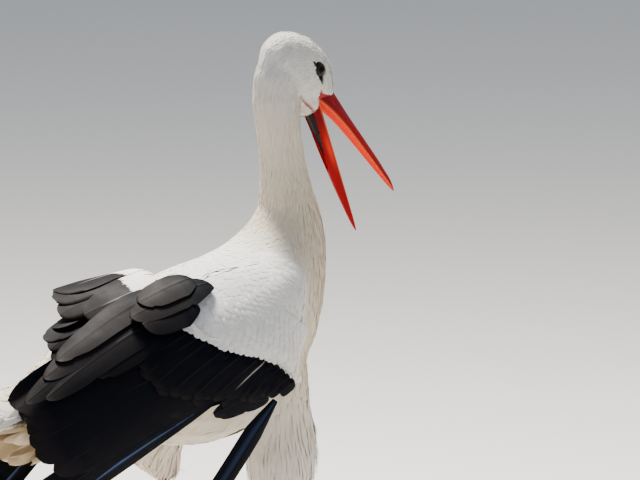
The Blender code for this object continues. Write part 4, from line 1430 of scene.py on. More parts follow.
@dataclass(frozen=True)
class FlightGroup:
    """One group of big feathers in a folded wing."""

    node: str
    roots: tuple
    tips: tuple
    feathers: int
    half_width: float
    layer: float
    tilt: float = 0.0012  # how far the lower edge stands over the next feather
    rounding: float = 0.8  # where the tip begins to round off
    skew: float = 0.12  # how much wider the trailing vane is
    bow: float = 0.02  # sideways curve, as a share of the length
    narrowing: float = 0.0  # how much slimmer the last feather is
    over_back: bool = False
    pale_shafts: tuple[int, ...] = ()
    # feathers that carry a painted blue highlight along the upper vane
    glossy: tuple[int, ...] = ()
    white: float = 0.0  # share of the length that is white from the root
    lifted: float = 0.0  # how much higher the last feathers lie, over the wrist
    worn: float = 0.8

    ROOT_SUNK = 0.005  # how deep the quills start under the coverts
    THICK, SHAFT = 0.00022, 0.0005
    TIP_STRAY, RISE_STRAY = 0.0022, 0.0006  # how unevenly the feathers lie

    def metric(self, points: tuple) -> Array:
        """The outline points with degrees over the back turned into metres."""
        table = np.array(points, float)
        if self.over_back:
            table[:, 1] = np.radians(table[:, 1]) * Shell.ROUND
        return table

    def lay_out(self, side: Side, template: Template, rng: np.random.Generator) -> Tract:
        """Places every feather of the group on the wing.

        Args:
            side: Which wing.
            template: The flight feather's pattern.
            rng: The draw of random numbers.

        Returns:
            The group's feathers.
        """
        share = (np.arange(self.feathers) + 0.5) / self.feathers
        root, tip = line_at(self.metric(self.roots), share), line_at(self.metric(self.tips), share)
        tip[:, :2] += rng.normal(0, self.TIP_STRAY, (self.feathers, 2))
        rows = template.rows
        line = root[:, None] + (tip - root)[:, None] * rows[None, :, None]
        centre = line[..., :2]
        length = np.linalg.norm(tip[:, :2] - root[:, :2], axis=1)
        way = unit(tip[:, :2] - root[:, :2])
        down = np.stack([-way[:, 1], way[:, 0]], axis=1) * (-1 if self.over_back else 1)
        bow = np.sin(np.pi * rows)[None] * (length * self.bow)[:, None]
        centre = centre - down[:, None] * bow[..., None]
        out = self.layer + (line[..., 2] if self.over_back else 0.0) + np.zeros((self.feathers, len(rows)))
        slope = self.slope(share, rows)
        out = out + self.lifted * share[:, None] ** 4 - self.ROOT_SUNK * ramp(rows, 0.18, 0)[None] ** 2
        out = out + self.RISE_STRAY * rng.standard_normal((self.feathers, 1))
        slim = 1 - self.narrowing * share[:, None] ** 2
        left, right = (vane * slim for vane in self.edges(rows, rng))
        across, row = template.across[None], template.row
        wide = np.where(across < 0, left[:, row], right[:, row]) * across / np.hypot(1, slope[:, row])
        spot = centre[:, row] + down[:, None] * wide[..., None]
        ridge = template.ridge(self.SHAFT) * (1 - 0.7 * template.along)
        high = out[:, row] + self.tilt * across + template.face * self.THICK + ridge
        high = high + slope[:, row] * (spot[..., 1] - centre[:, row, 1])
        high = high - (0.0003 if self.over_back else 0.001) * across**2
        high = high + 0.0002 * np.sin(template.along * 9 + across * 2.2)
        place = Shell.back if self.over_back else Shell.side
        index = np.arange(self.feathers)
        fade = (1 - 0.65 * share) if self.over_back else 1.0
        marks = {
            "tone": rng.uniform(0.55, 1.0, self.feathers) * self.worn * fade,
            "pale": np.isin(index, self.pale_shafts) * 1.0, "gloss": np.isin(index, self.glossy) * 1.0,
            "white": np.full(self.feathers, self.white),
        }
        return Tract(template, place(side, spot[..., 0], spot[..., 1], high), left.max(1), length, marks)

    def slope(self, share: Array, rows: Array) -> Array:
        """How steeply the group's own sheet rises across each feather, at each row."""
        if not self.over_back:
            return np.zeros((len(share), len(rows)))
        apart = 0.1 + 0.8 / self.feathers
        sides = [np.clip(share + step, 0.02, 0.98) for step in (-apart, apart)]
        roots, tips = ([line_at(self.metric(ends), s) for s in sides] for ends in (self.roots, self.tips))
        low, high = (a[:, None] + (b - a)[:, None] * rows[None, :, None] for a, b in zip(roots, tips))
        run = high[..., 1] - low[..., 1]
        return np.clip((high[..., 2] - low[..., 2]) / np.where(np.abs(run) < 0.004, 0.004, run), -0.3, 1.3)

    def edges(self, rows: Array, rng: np.random.Generator) -> tuple[Array, Array]:
        """Half widths of the upper and lower vane of each feather, with a few parted barbs."""
        body = vane_body(rows, 0.3, 0.3, self.rounding, least=0.0025, swell=0.8)
        vanes = []
        for share in (1 - self.skew, 1 + self.skew):
            width = self.half_width * share * body[None] * rng.uniform(0.95, 1.05, (self.feathers, 1))
            for _ in range(2):
                spot = rng.uniform(0.35, 0.97, (self.feathers, 1))
                deep = rng.uniform(0.0, 0.22, (self.feathers, 1)) * (rng.random((self.feathers, 1)) < 0.7)
                width = width * (1 - deep * peak(rows[None], spot, 0.02))
            vanes.append(width)
        return vanes[0], vanes[1]


SECONDARY_ROOTS = ((-0.09, 0.522), (-0.05, 0.49), (0.008, 0.471), (0.046, 0.441))
RIGHT_GROUPS = (
    FlightGroup(
        "primaries", ((-0.066, 0.442), (-0.042, 0.433)),
        ((-0.4, 0.266), (-0.458, 0.232), (-0.425, 0.194)), 5, 0.015, 0.0012,
        rounding=0.7, skew=-0.28, bow=0.03, glossy=(4,), worn=0.2,
    ),
    FlightGroup(
        "secondaries", QUILLS,
        ((-0.302, 0.441), (-0.302, 0.415), (-0.302, 0.388), (-0.27, 0.365),
         (-0.214, 0.395), (-0.15, 0.417), (-0.08, 0.431)), 12, 0.023, 0.0052, tilt=0.0016,
        narrowing=0.55, worn=0.35,
    ),
    FlightGroup(
        "greater_coverts", SECONDARY_ROOTS,
        ((-0.165, 0.492), (-0.15, 0.452), (-0.092, 0.435), (-0.03, 0.4275), (0.022, 0.43)),
        16, 0.0135, 0.0096, rounding=0.72, narrowing=0.4, pale_shafts=(10,), lifted=0.016, worn=0.3,
    ),
    FlightGroup(
        "primary_covert", ((0.012, 0.437), (0.018, 0.421)),
        ((-0.052, 0.432), (-0.07, 0.4167), (-0.046, 0.408)), 3, 0.0105, 0.0136, rounding=0.66, bow=0.05,
        worn=0.08,
    ),
    FlightGroup(
        "tertials", ((-0.09, 15, 0.0095), (-0.09, 33, 0.01), (-0.096, 50, 0.0105)),
        ((-0.2, 18, 0.012), (-0.236, 25, 0.0125), (-0.262, 31, 0.0125), (-0.3, 37, 0.012),
         (-0.262, 46, 0.012), (-0.19, 52, 0.013)), 6, 0.0215, 0.0014,
        tilt=0.0014, rounding=0.6, over_back=True, worn=1.3,
    ),
    FlightGroup(
        "scapulars", ((-0.062, 24, 0.013), (-0.038, 36, 0.015), (-0.088, 49, 0.015)),
        ((-0.122, 22, 0.0165), (-0.15, 33, 0.0175), (-0.138, 46, 0.0175)), 3, 0.0215, 0.0032,
        tilt=0.0011, rounding=0.55, over_back=True, worn=1.6,
    ),
)
LEFT_CHANGES = {
    "primaries": {
        "roots": ((-0.072, 0.452), (-0.045, 0.432)),
        "tips": ((-0.4, 0.262), (-0.45, 0.22), (-0.41, 0.174)),
    },
    "secondaries": {
        "roots": ((-0.098, 0.486), (-0.058, 0.476), (0.0, 0.457), (0.04, 0.433)),
        "tips": ((-0.215, 0.362), (-0.24, 0.348), (-0.258, 0.333), (-0.245, 0.322),
                 (-0.2, 0.356), (-0.145, 0.39), (-0.08, 0.415)),
    },
    "greater_coverts": {
        "narrowing": 0.0, "lifted": 0.0,
        "tips": ((-0.13, 0.47), (-0.126, 0.448), (-0.092, 0.43), (-0.03, 0.4215), (0.026, 0.417)),
    },
    "tertials": {
        "roots": ((-0.122, -14.4, -0.0097), (-0.106, 12.7, -0.0085), (-0.089, 36.2, 0.0002)),
        "tips": ((-0.207, -19.0, -0.015), (-0.224, -12.0, -0.016), (-0.221, 3.4, 0.0015),
                 (-0.189, 15.3, 0.0062), (-0.148, 27.9, 0.0024)),
        "feathers": 8, "half_width": 0.0235, "tilt": 0.0006, "rounding": 0.5, "worn": 0.5,
    },
    "scapulars": {
        "roots": ((-0.078, -17.6, -0.0008), (-0.052, 11.2, 0.0004), (-0.034, 32.0, 0.0076)),
        "tips": ((-0.152, -7.5, -0.004), (-0.182, 13.1, 0.0125), (-0.178, 22.6, 0.029),
                 (-0.155, 30.0, 0.035)),
        "feathers": 4, "half_width": 0.0265, "rounding": 0.66, "pale_shafts": (0, 3), "white": 0.38,
        "worn": 1.3,
    },
}


class FoldedWing:
    """One folded wing: its flight feathers and the white coverts of its arm."""

    OVERHANG = 0.0065
    HIGHEST = {Side.RIGHT: 0.88, Side.LEFT: 0.66}  # coverts further up the shell are left to the coat
    OVER_SHELL = {Side.RIGHT: 0.0004, Side.LEFT: -0.007}
    ROWS, EDGE_SAMPLES = 19, 240
    LONGEST, SHORTEST = 0.034, 0.009
    ROOT_SUNK = 0.0029
    WRIST_TURN = 0.55  # radians that the last coverts turn aside at the wrist
    OUTLINE = (0.45, 0.84, 1.0, 0.94, 0.7, 0.2)  # width of a covert by row

    def __init__(self, side: Side, finishes: Finishes, markings: Markings) -> None:
        self.side, self.finishes, self.markings = side, finishes, markings
        self.rng = np.random.default_rng(SEED + 3 + side.value)
        self.covert_places = np.zeros((0, 3))
        self.vane_places: list[Array] = []

    def groups(self) -> list[FlightGroup]:
        """This wing's groups of flight feathers."""
        if self.side is Side.RIGHT:
            return list(RIGHT_GROUPS)
        return [replace(group, **LEFT_CHANGES.get(group.node, {})) for group in RIGHT_GROUPS]

    def build(self) -> list[Object]:
        """Builds every group and the arm's coverts."""
        template = Template.flight()
        shown = (np.abs(template.across) < 0.7) & (template.along > 0.22)
        pieces = []
        for group in self.groups():
            name = f"{group.node}_{self.side.label}"
            tract = group.lay_out(self.side, template, self.rng)
            self.vane_places.append(tract.points[:, shown].reshape(-1, 3))
            piece = tract.join(name + "_vanes", self.finishes.black, "black_plumage", 60.0)
            pieces.append(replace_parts(piece, name))
        return [*pieces, self.arm_coverts()]

    @staticmethod
    def arm_rise(u: Array, v: Array) -> Array:
        """How far the feathered arm stands over the shell."""
        v = np.clip(v, 0, 1)
        rim = 0.25 + 0.75 * np.sin(np.pi * (0.06 + 0.88 * u)) ** 0.6
        crown = np.sin(np.pi * np.minimum(1.0, 0.1 + 0.8 * v)) ** 0.7
        return 0.008 + 0.0105 * crown * rim - 0.016 * (1 - v) ** 3

    def arm_coverts(self) -> Object:
        """Rows of rounded white coverts, the last one a scalloped edge over the black."""
        rng = self.rng
        u = np.linspace(0.0, 1.0, self.EDGE_SAMPLES)
        low = np.array((0.0, LEFT_DROP if self.side is Side.LEFT else 0.0))
        front, back = line_at(ARM_FRONT, u) - low, line_at(ARM_BACK, u) - low
        wide = np.linalg.norm(front - back, axis=1)
        ahead = unit(front - back)
        table = self.rows_of_coverts(u, back, ahead, wide)
        where, gap, length, rank, half = table.T
        template, count = Template(4, PLUME_ROWS, False), len(table)
        back_from_tip = 1 - template.rows[None]
        way, edge = (np.stack([np.interp(where, u, a[:, i]) for i in (0, 1)], 1) for a in (ahead, back))
        room = np.interp(where, u, wide)
        turn = rng.normal(0, 0.09, count)
        turn = turn + self.WRIST_TURN * ramp(rank, 9, 0) * ramp(where, 1.0, 0.85)
        cos, sin = np.cos(turn), np.sin(turn)
        lie = np.stack([way[:, 0] * cos - way[:, 1] * sin, way[:, 0] * sin + way[:, 1] * cos], axis=1)
        length = length * rng.uniform(0.93, 1.06, count)
        ragged = rng.normal(0, 0.0011, count) * (rank < 3)
        tip = edge + way * (gap + ragged)[:, None]
        centre = tip[:, None] + lie[:, None] * (length[:, None] * back_from_tip)[..., None]
        distance = gap[:, None] + length[:, None] * back_from_tip
        share = 1 - distance / np.maximum(room[:, None], 0.02)
        rise = self.arm_rise(where[:, None], share) + self.OVER_SHELL[self.side]
        middle, upper, _, _ = Shell.section(centre[..., 0])
        level = (centre[..., 1] - middle) / upper
        highest = self.HIGHEST[self.side]
        held = level.max(1) < highest
        rise = rise - 0.0035 * ramp(level, 0.66, 0.86)
        inland = (room - gap > 0.016) & (level.max(1) < highest - 0.1)
        rise = rise - self.ROOT_SUNK * (length / self.LONGEST)[:, None] * back_from_tip**1.1
        rise = rise + rng.uniform(-0.0001, 0.0002, count)[:, None]
        half = half * rng.uniform(0.92, 1.08, count)
        down = np.stack([lie[:, 1], -lie[:, 0]], axis=1)
        across, row = template.across[None], template.row
        wide = half[:, None] * np.array(self.OUTLINE)[row][None] * across
        spot = centre[:, row] + down[:, None] * wide[..., None]
        high = rise[:, row] + 0.0001 * across + template.face * 0.00013 - 0.0006 * across**2
        points = Shell.side(self.side, spot[..., 0], spot[..., 1], high)[held]
        length, half, root, count = length[held], half[held], centre[held, 0], held.sum()
        hiding = points[inland[held]]
        self.covert_places = hiding[:, (template.across == 0) & (template.along > 0.5)].reshape(-1, 3)
        cream_and_shade, soil = self.markings.tint(points.mean(1))
        marks = {
            "cream_and_shade": cream_and_shade * 0.5, "soil": soil * 0.3, "tone": rng.uniform(0.87, 1.0, count),
            "bare": np.zeros(count),
        }
        unrolled = 0.05 + 0.9 * (root - (-0.12, 0.4)) / (0.26, 0.2)
        tract = Tract(template, points, half, length, marks, unrolled)
        return tract.join(f"arm_coverts_{self.side.label}", self.finishes.white, "white_plumage")

    def rows_of_coverts(
        self, u: Array, back: Array, ahead: Array, wide: Array
    ) -> Array:
        """Where each covert of the arm stands, the frontmost row first.

        Args:
            u: Shares of the way from shoulder to wrist.
            back: The arm's back edge at those shares.
            ahead: The way across the arm, from its back edge.
            wide: How wide the arm is there.

        Returns:
            Rows of share, distance from the back edge, length, rank and half width.
        """
        feathers, gap = [], -self.OVERHANG
        for row in range(self.ROWS):
            line = back + ahead * gap
            run = np.concatenate([[0], np.cumsum(np.linalg.norm(np.diff(line, axis=0), axis=1))])
            half = 0.0046 if row < 2 else max(0.0072 - 0.0001 * row, 0.0052)
            step = half * (1.55 if row < 2 else 1.3)
            stops = np.arange(step * (0.25 + 0.5 * (row % 2)), run[-1], step)
            where = np.interp(stops + self.rng.normal(0, 0.0009, len(stops)), run, u)
            length = max(self.LONGEST - 0.0013 * row, 0.015)
            for here, space in zip(where, np.interp(where, u, wide)):
                fits = min(length, max(space - gap, 0.0) * 0.92)
                if fits > self.SHORTEST:
                    feathers.append((here, gap, fits, row, half))
            gap += max(0.0086 - 0.00018 * row, 0.0055)
        table = np.array(feathers)
        return table[np.argsort(-table[:, 3], kind="stable")]


class LoosePrimary:
    """The right wing's outermost primary, slipped down and hanging from the wrist."""

    LINE = ((0.029, 0.418), (-0.012, 0.366), (-0.074, 0.287), (-0.15, 0.215))
    HALF_WIDTH, LENGTH = 0.0135, 0.29
    ASIDE = 0.105
    # gloss is the share of the painted blue highlight along the upper vane
    MARKS = {"tone": 0.2, "pale": 0.0, "gloss": 0.22, "white": 0.0}

    def build(self, finishes: Finishes) -> Object:
        """Lays one long vane along its hanging line.

        Args:
            finishes: The materials.
        """
        template = Template.flight()
        rows = template.rows
        share = rows[:, None]
        point = sum(
            math.comb(3, i) * (1 - share) ** (3 - i) * share**i * np.array(knot)
            for i, knot in enumerate(self.LINE)
        )
        way = unit(np.gradient(point, axis=0))
        down = np.stack([-way[:, 1], way[:, 0]], axis=1)
        body = vane_body(rows, 0.3, 0.22, 0.72, 2.4)
        across, row = template.across, template.row
        wide = np.where(across < 0, 1.3, 0.7) * across * body[row] * self.HALF_WIDTH
        spot = point[row] + down[row] * wide[:, None]
        high = self.ASIDE - 0.012 * template.along + 0.0008 + template.face * 0.0003
        high = high + template.ridge(0.0006) - 0.0018 * across**2
        points = np.stack([spot[:, 0] + CENTRE_X, -high, spot[:, 1]], axis=1)[None]
        marks = {key: np.array([value]) for key, value in self.MARKS.items()}
        tract = Tract(template, points, np.array([self.HALF_WIDTH]), np.array([self.LENGTH]), marks)
        piece = tract.join("loose_primary_right_vane", finishes.black, "black_plumage", 60.0)
        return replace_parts(piece, "loose_primary_right")


# ---- tail
class Tail:
    """Twelve white tail feathers, closed like a fan under their coverts."""

    FEATHERS, HALF_WIDTH = 12, 0.0165
    LOOSE, LOOSE_HALF, LOOSE_LENGTH = 14, 0.0135, 0.11
    # The loose undertail feathers' brown is partly dirt and partly painted shade under the tail.
    LOOSE_SOIL_AND_SHADE = 0.38
    SHOWN = 0.115  # past this only the big feathers show

    def __init__(self, finishes: Finishes, markings: Markings) -> None:
        self.finishes, self.markings = finishes, markings
        self.rng = np.random.default_rng(SEED + 9)

    def loose(self, template: Template) -> Array:
        """Points of the soft feathers that hang under the root of the tail, in two rows.

        Args:
            template: The shape shared by the feathers of the fan.
        """
        rows, half = template.rows, self.LOOSE // 2
        side = np.tile(np.linspace(-1, 1, half), 2)
        low = np.repeat((0.0, 1.0), half)
        root = np.stack([-0.196 + 0 * side, 0.03 * side, 0.42 - 0.01 * low], axis=1)
        tip = np.stack([-0.312 + 0.046 * low, 0.046 * side, 0.402 - 0.036 * low], axis=1)
        tip = tip + self.rng.normal(0, 0.004, tip.shape)
        line = root[:, None] + (tip - root)[:, None] * rows[None, :, None] + (CENTRE_X, 0, 0)
        line[..., 2] -= 0.006 * np.sin(np.pi * rows)
        way = unit(tip - root)
        out = unit(np.stack([-0.3 + 0 * side, 1.1 * side, -0.8 + 0 * side], axis=1))
        out = unit(out - way * dot(out, way))
        norms, aside = (np.repeat(a[:, None], len(rows), axis=1) for a in (out, np.cross(out, way)))
        widths = np.tile(self.LOOSE_HALF * vane_body(rows, 0.35, 0.4, 0.6, 2), (self.LOOSE, 1))
        flat = np.full(self.LOOSE, 1.0)
        return lay(template, line, aside, norms, widths, flat * 0.00025, flat * 0.0016)

    @staticmethod
    def covers(points: Array) -> Array:
        """Whether a place lies so far out on the tail that only its big feathers show."""
        return points[:, 0] < CENTRE_X + TAIL_ROOT[0] - Tail.SHOWN

    @staticmethod
    def place(reach: Array, aside: Array, out: Array) -> Array:
        """Points of the fan at a distance from its root and from its middle line."""
        slope = math.radians(TAIL_SLOPE)
        half = TAIL_ROOT_HALF + reach * math.sin(math.radians(TAIL_HALF_ANGLE))
        across = np.clip(aside / half, -1.1, 1.1)
        rise = -TAIL_CAMBER * across**2 * (0.35 + 0.65 * reach / TAIL_LENGTH) + out
        x = TAIL_ROOT[0] - reach * math.cos(slope) + rise * math.sin(slope) + CENTRE_X
        z = TAIL_ROOT[1] - reach * math.sin(slope) + rise * math.cos(slope)
        return np.stack([x, aside, z], axis=-1)

    def build(self) -> Object:
        """Builds the fan, its middle feathers on top."""
        rng = self.rng
        template = Template.flight()
        rows = template.rows
        place = -1 + 2 * (np.arange(self.FEATHERS) + 0.5) / self.FEATHERS
        length = TAIL_LENGTH * (1.0 - 0.08 * place**2) * rng.uniform(0.97, 1.0, self.FEATHERS)
        reach = length[:, None] * rows[None]
        spread = reach * math.sin(math.radians(TAIL_HALF_ANGLE))
        middle = place[:, None] * (TAIL_ROOT_HALF * 0.85 + spread * 0.8)
        body = vane_body(rows, 0.35, 0.5, 0.84)
        across, row = template.across[None], template.row
        outer = -np.sign(place)[:, None] * across
        wide = self.HALF_WIDTH * body[row][None] * across * np.where(outer > 0, 0.85, 1.1)
        order = -np.abs(place)[:, None] * 0.0034 + 0.001
        high = order - outer * 0.0007 + template.face * 0.00025 - 0.001 * across**2
        high = high + template.ridge(0.0005)
        points = self.place(reach[:, row], middle[:, row] - wide, high)
        cream_and_shade, soil = self.markings.tint(points[:, -1])
        points = np.concatenate([points, self.loose(template)])
        # Full cream and soil on the loose undertail feathers: partly their own dirt, partly painted shade
        # under the tail.
        cream_and_shade = np.concatenate([cream_and_shade, np.ones(self.LOOSE)])
        soil = np.concatenate([soil, np.full(self.LOOSE, self.LOOSE_SOIL_AND_SHADE)])
        count = self.FEATHERS + self.LOOSE
        marks = {"cream_and_shade": cream_and_shade, "soil": soil, "tone": rng.uniform(0.9, 1, count), "bare": np.zeros(count)}
        length = np.concatenate([length, np.full(self.LOOSE, self.LOOSE_LENGTH)])
        tract = Tract(template, points, np.full(count, self.HALF_WIDTH), length, marks)
        piece = tract.join("tail_vanes", self.finishes.white, "white_plumage", 60.0)
        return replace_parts(piece, "tail")


# ---- bill and eyes
def throat_gap(share: float) -> float:
    """How wide the throat's skin is along the lower bill, as a share of its start."""
    return 1 - max(share, 0.0) ** 2 / (GULAR_REACH + 0.03) ** 2


@dataclass(frozen=True)
class Mandible:
    """Half of the bill: a keratin sheath with a ridge outside and a channel inside."""

    name: str
    base: Array  # the start of its cutting edge
    pitch: float
    length: float
    sign: int  # which way its ridge points
    sag: float  # how far its edges hang at the gape
    stations: tuple  # share of the length, width, height
    channel: float

    START = -0.13  # how far into the head it runs, as a share of its length
    RINGS, AROUND = 90, 48
    RIDGE = 0.6  # share of the way round that runs over the ridge
    NOSTRIL, NOSTRIL_DEEP = (0.13, 0.032, 0.62, 0.055), 0.16  # where along and up, each with its spread

    def place(self, share: float, up: float) -> Vector:
        """A point on the middle plane, from the share of the length and the height."""
        forward, rise = pitched(self.pitch)
        return Vector(self.base + forward * self.length * share + rise * up)

    def size(self, share: float) -> Array:
        """Width and height at a share of the length."""
        return smooth([s[0] for s in self.stations], [s[1:] for s in self.stations], np.array(share))

    def section(self, turn: float, share: float) -> tuple[float, float, float, float]:
        """One point of the section.

        Args:
            turn: How far round the section, 0 to 1; the first 60% run over the ridge.
            share: How far along the bill.

        Returns:
            Side and height in widths and heights, then how much it is mouth and edge.
        """
        if turn < self.RIDGE:
            angle = math.pi * turn / self.RIDGE
            side, rise = 0.5 * math.cos(angle), math.sin(angle) ** 0.92
            edge = max(0.0, 1 - rise / 0.15)
            if self.sign > 0:
                at, long, high, tall = self.NOSTRIL
                side *= 1 - self.NOSTRIL_DEEP * peak(share, at, long) * peak(rise, high, tall)
            elif share < GULAR_REACH and abs(side) < 0.36 * throat_gap(share):
                rise = min(rise, 0.46)
            return side, rise, 0.0, edge
        side = -0.5 * math.cos(math.pi * (turn - self.RIDGE) / (1 - self.RIDGE))
        lip = min(1.0, (0.5 - abs(side)) / 0.16)
        groove = 0.5 * peak(abs(side), 0.16, 0.05)
        depth = self.channel * (lip * lip * (3 - 2 * lip))
        return side * 0.96, depth, min(1.0, lip * 1.6) * (1 - groove), max(0.0, 1 - lip * 1.6)

    def build(self, finishes: Finishes) -> Object:
        """Lofts the sheath along its length and closes its ends.

        Args:
            finishes: The materials.
        """
        bm = bmesh.new()
        bmesh.ops.create_grid(bm, x_segments=self.AROUND, y_segments=self.RINGS, size=0.5)
        layers = [bm.verts.layers.float.new(name) for name in ("mouth", "edge", "base", "painted_backlight")]
        map_corners(bm, "Grain", lambda spot: (spot.x * 46, spot.y * 9))
        for corner in bm.verts:
            turn, run = corner.co.x + 0.5, corner.co.y + 0.5
            share = self.START + (1 - self.START) * run
            width, height = self.size(share)
            side, rise, mouth, edge = self.section(turn, share)
            hang = self.sag * max(0.0, 1 - max(share, 0.0) / SAG_END) ** 2.2 * (2 * side) ** 2
            corner.co = self.place(share, self.sign * (rise * height - hang))
            corner.co.y = side * width
            # Painted backlight: a bright orange-red patch on the outer side of the lower bill, where light
            # from behind shines through the thin horn.
            lit = 0.85 if self.sign < 0 and turn < self.RIDGE else 0.0
            painted_backlight = lit * peak(share, 0.3, 0.13) * peak(rise, 0.36, 0.22)
            for layer, value in zip(layers, (mouth, edge, max(0.0, 1 - share * 2.2), painted_backlight)):
                corner[layer] = value
        bmesh.ops.remove_doubles(bm, verts=bm.verts, dist=1e-6)
        bmesh.ops.holes_fill(bm, edges=[e for e in bm.edges if e.is_boundary])
        piece = from_bmesh(self.name + "_sheath", bm, finishes.bill, 55.0)
        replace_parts(piece, self.name)
        return piece


UPPER_BILL = Mandible(
    "bill_upper", head_point(*BILL_BASE), UPPER_PITCH, UPPER_LENGTH, 1, UPPER_SAG,
    (
        (-0.15, 0.0245, 0.019), (0.0, 0.0245, 0.019), (0.1, 0.0228, 0.0174), (0.3, 0.0182, 0.014),
        (0.55, 0.0148, 0.0112), (0.8, 0.0106, 0.008), (0.95, 0.0058, 0.0044), (1.0, 0.0018, 0.0014),
    ),
    0.34,
)
LOWER_BILL = Mandible(
    "bill_lower", row_place(*LOWER_BASE), LOWER_PITCH, LOWER_LENGTH, -1, 0.0,
    (
        (-0.15, 0.024, 0.015), (0.0, 0.025, 0.016), (0.1, 0.0225, 0.0152), (0.3, 0.0182, 0.0132),
        (0.55, 0.0136, 0.0104), (0.8, 0.0084, 0.0062), (0.95, 0.0042, 0.0028), (1.0, 0.0014, 0.001),
    ),
    0.3,
)


class ThroatPouch:
    """Bare skin stretched between the two arms of the lower bill."""

    INNER, OUTER = 0.4, 0.6  # how deep its two faces lie, as shares of the bill's height
    HALF_WIDTH = 0.355

    def build(self, finishes: Finishes) -> Object:
        """Makes a slack wedge of skin with long folds.

        Args:
            finishes: The materials.
        """
        bm = bmesh.new()
        bmesh.ops.create_grid(bm, x_segments=14, y_segments=40, size=0.5)
        made = bmesh.ops.extrude_face_region(bm, geom=bm.faces[:], use_keep_orig=True)
        inner = {item for item in made["geom"] if isinstance(item, BMVert)}
        map_corners(bm, "Grain", lambda spot: (spot.x * 9, spot.y * 5))
        for corner in bm.verts:
            across, run = corner.co.x * 2, corner.co.y + 0.5
            share = LOWER_BILL.START + (GULAR_REACH - 0.01 - LOWER_BILL.START) * run
            width, height = LOWER_BILL.size(share)
            slack = 0.16 * (1 - across**2) + 0.035 * math.cos(across * 9) * (1 - abs(across))
            depth = self.INNER if corner in inner else self.OUTER + slack * (1 - run)
            corner.co = LOWER_BILL.place(share, -depth * height)
            corner.co.y = across * self.HALF_WIDTH * width * throat_gap(share)
        piece = from_bmesh("throat_pouch", bm, finishes.throat, 60.0)
        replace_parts(piece, "gular_skin")
        return piece


class Eye:
    """An eyeball with its lids."""

    OPENING = 0.0058  # half the width of the open eye
    LID, GAP = 0.0005, 0.0002  # how thick the lid is, and how far it stands off the ball
    OVAL, ROLL = 0.9, math.radians(22)  # height of the opening to its width, and its slant
    CORNEA = 0.035  # how far the cornea bulges, as a share of the radius

    def __init__(self, side: Side, finishes: Finishes) -> None:
        self.side, self.finishes = side, finishes
        along, above, aside = EYE_PLACE
        self.centre = Vector(head_point(along, above, side.value * aside))
        _, forward, up = head_frame()
        gaze = Vector((0, side.value, 0)) * 0.95 + Vector(forward) * 0.2 + Vector(up) * 0.1
        self.turn = gaze.to_track_quat("Z", "Y").to_matrix().to_4x4()

    def ball(self) -> Object:
        """A finely divided ball, slightly bulged at the cornea, with rings mapped round its gaze."""
        bm = bmesh.new()
        bmesh.ops.create_uvsphere(bm, u_segments=36, v_segments=24, radius=EYE_RADIUS)
        map_corners(bm, "Iris", lambda spot: (
            spot.angle(Vector((0, 0, 1))) / math.pi, math.atan2(spot.y, spot.x) / (2 * math.pi) + 0.5
        ))
        for corner in bm.verts:
            tilt = corner.co.angle(Vector((0, 0, 1)))
            corner.co *= 1 + self.CORNEA * peak(tilt, 0.0, 0.45)
        bmesh.ops.transform(bm, matrix=Matrix.Translation(self.centre) @ self.turn, verts=bm.verts)
        piece = from_bmesh(f"eyeball_{self.side.label}", bm, self.finishes.eye)
        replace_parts(piece, f"eye_{self.side.label}")
        return piece

    def lids(self) -> Object:
        """A rolled rim of lid round the opening, spun about the gaze and drawn to an oval."""
        bm = bmesh.new()
        start = math.asin(self.OPENING / EYE_RADIUS)
        rim = [(EYE_RADIUS + self.GAP, start)]
        for step in range(1, 9):  # the rolled edge, from inside to outside
            turn = math.pi * step / 8
            radius = EYE_RADIUS + self.GAP + self.LID * (1 - math.cos(turn)) / 2
            rim.append((radius, start + 0.1 - 0.1 * math.sin(turn)))
        for step in range(1, 6):  # the lid's outer face, down into the socket
            radius = EYE_RADIUS + self.GAP + self.LID + 0.0006 * math.sin(math.pi * step / 5)
            rim.append((radius - 0.0003 * step / 5, start + 0.1 + 0.11 * step))
        profile = [(r * math.sin(t), r * math.cos(t)) for r, t in rim]
        profile.append((profile[-1][0] * 0.97, profile[-1][1] - 0.0016))
        profile.append((profile[0][0] * 1.15, profile[0][1] - 0.0022))
        points = [bm.verts.new((x, 0, z)) for x, z in profile]
        edges = [bm.edges.new((a, b)) for a, b in zip(points, points[1:] + points[:1])]
        bmesh.ops.spin(
            bm, geom=points + edges, cent=(0, 0, 0), axis=(0, 0, 1), dvec=(0, 0, 0), angle=2 * math.pi,
            steps=40, use_merge=True,
        )
        for corner in bm.verts:
            corner.co.y *= self.OVAL
        _, forward, _ = head_frame()
        local = self.turn.inverted() @ Vector(forward)
        roll = Matrix.Rotation(math.atan2(local.y, local.x) - self.ROLL * self.side.value, 4, "Z")
        bmesh.ops.transform(bm, matrix=Matrix.Translation(self.centre) @ self.turn @ roll, verts=bm.verts)
        piece = from_bmesh(f"eyelids_{self.side.label}", bm, self.finishes.lids)
        return piece


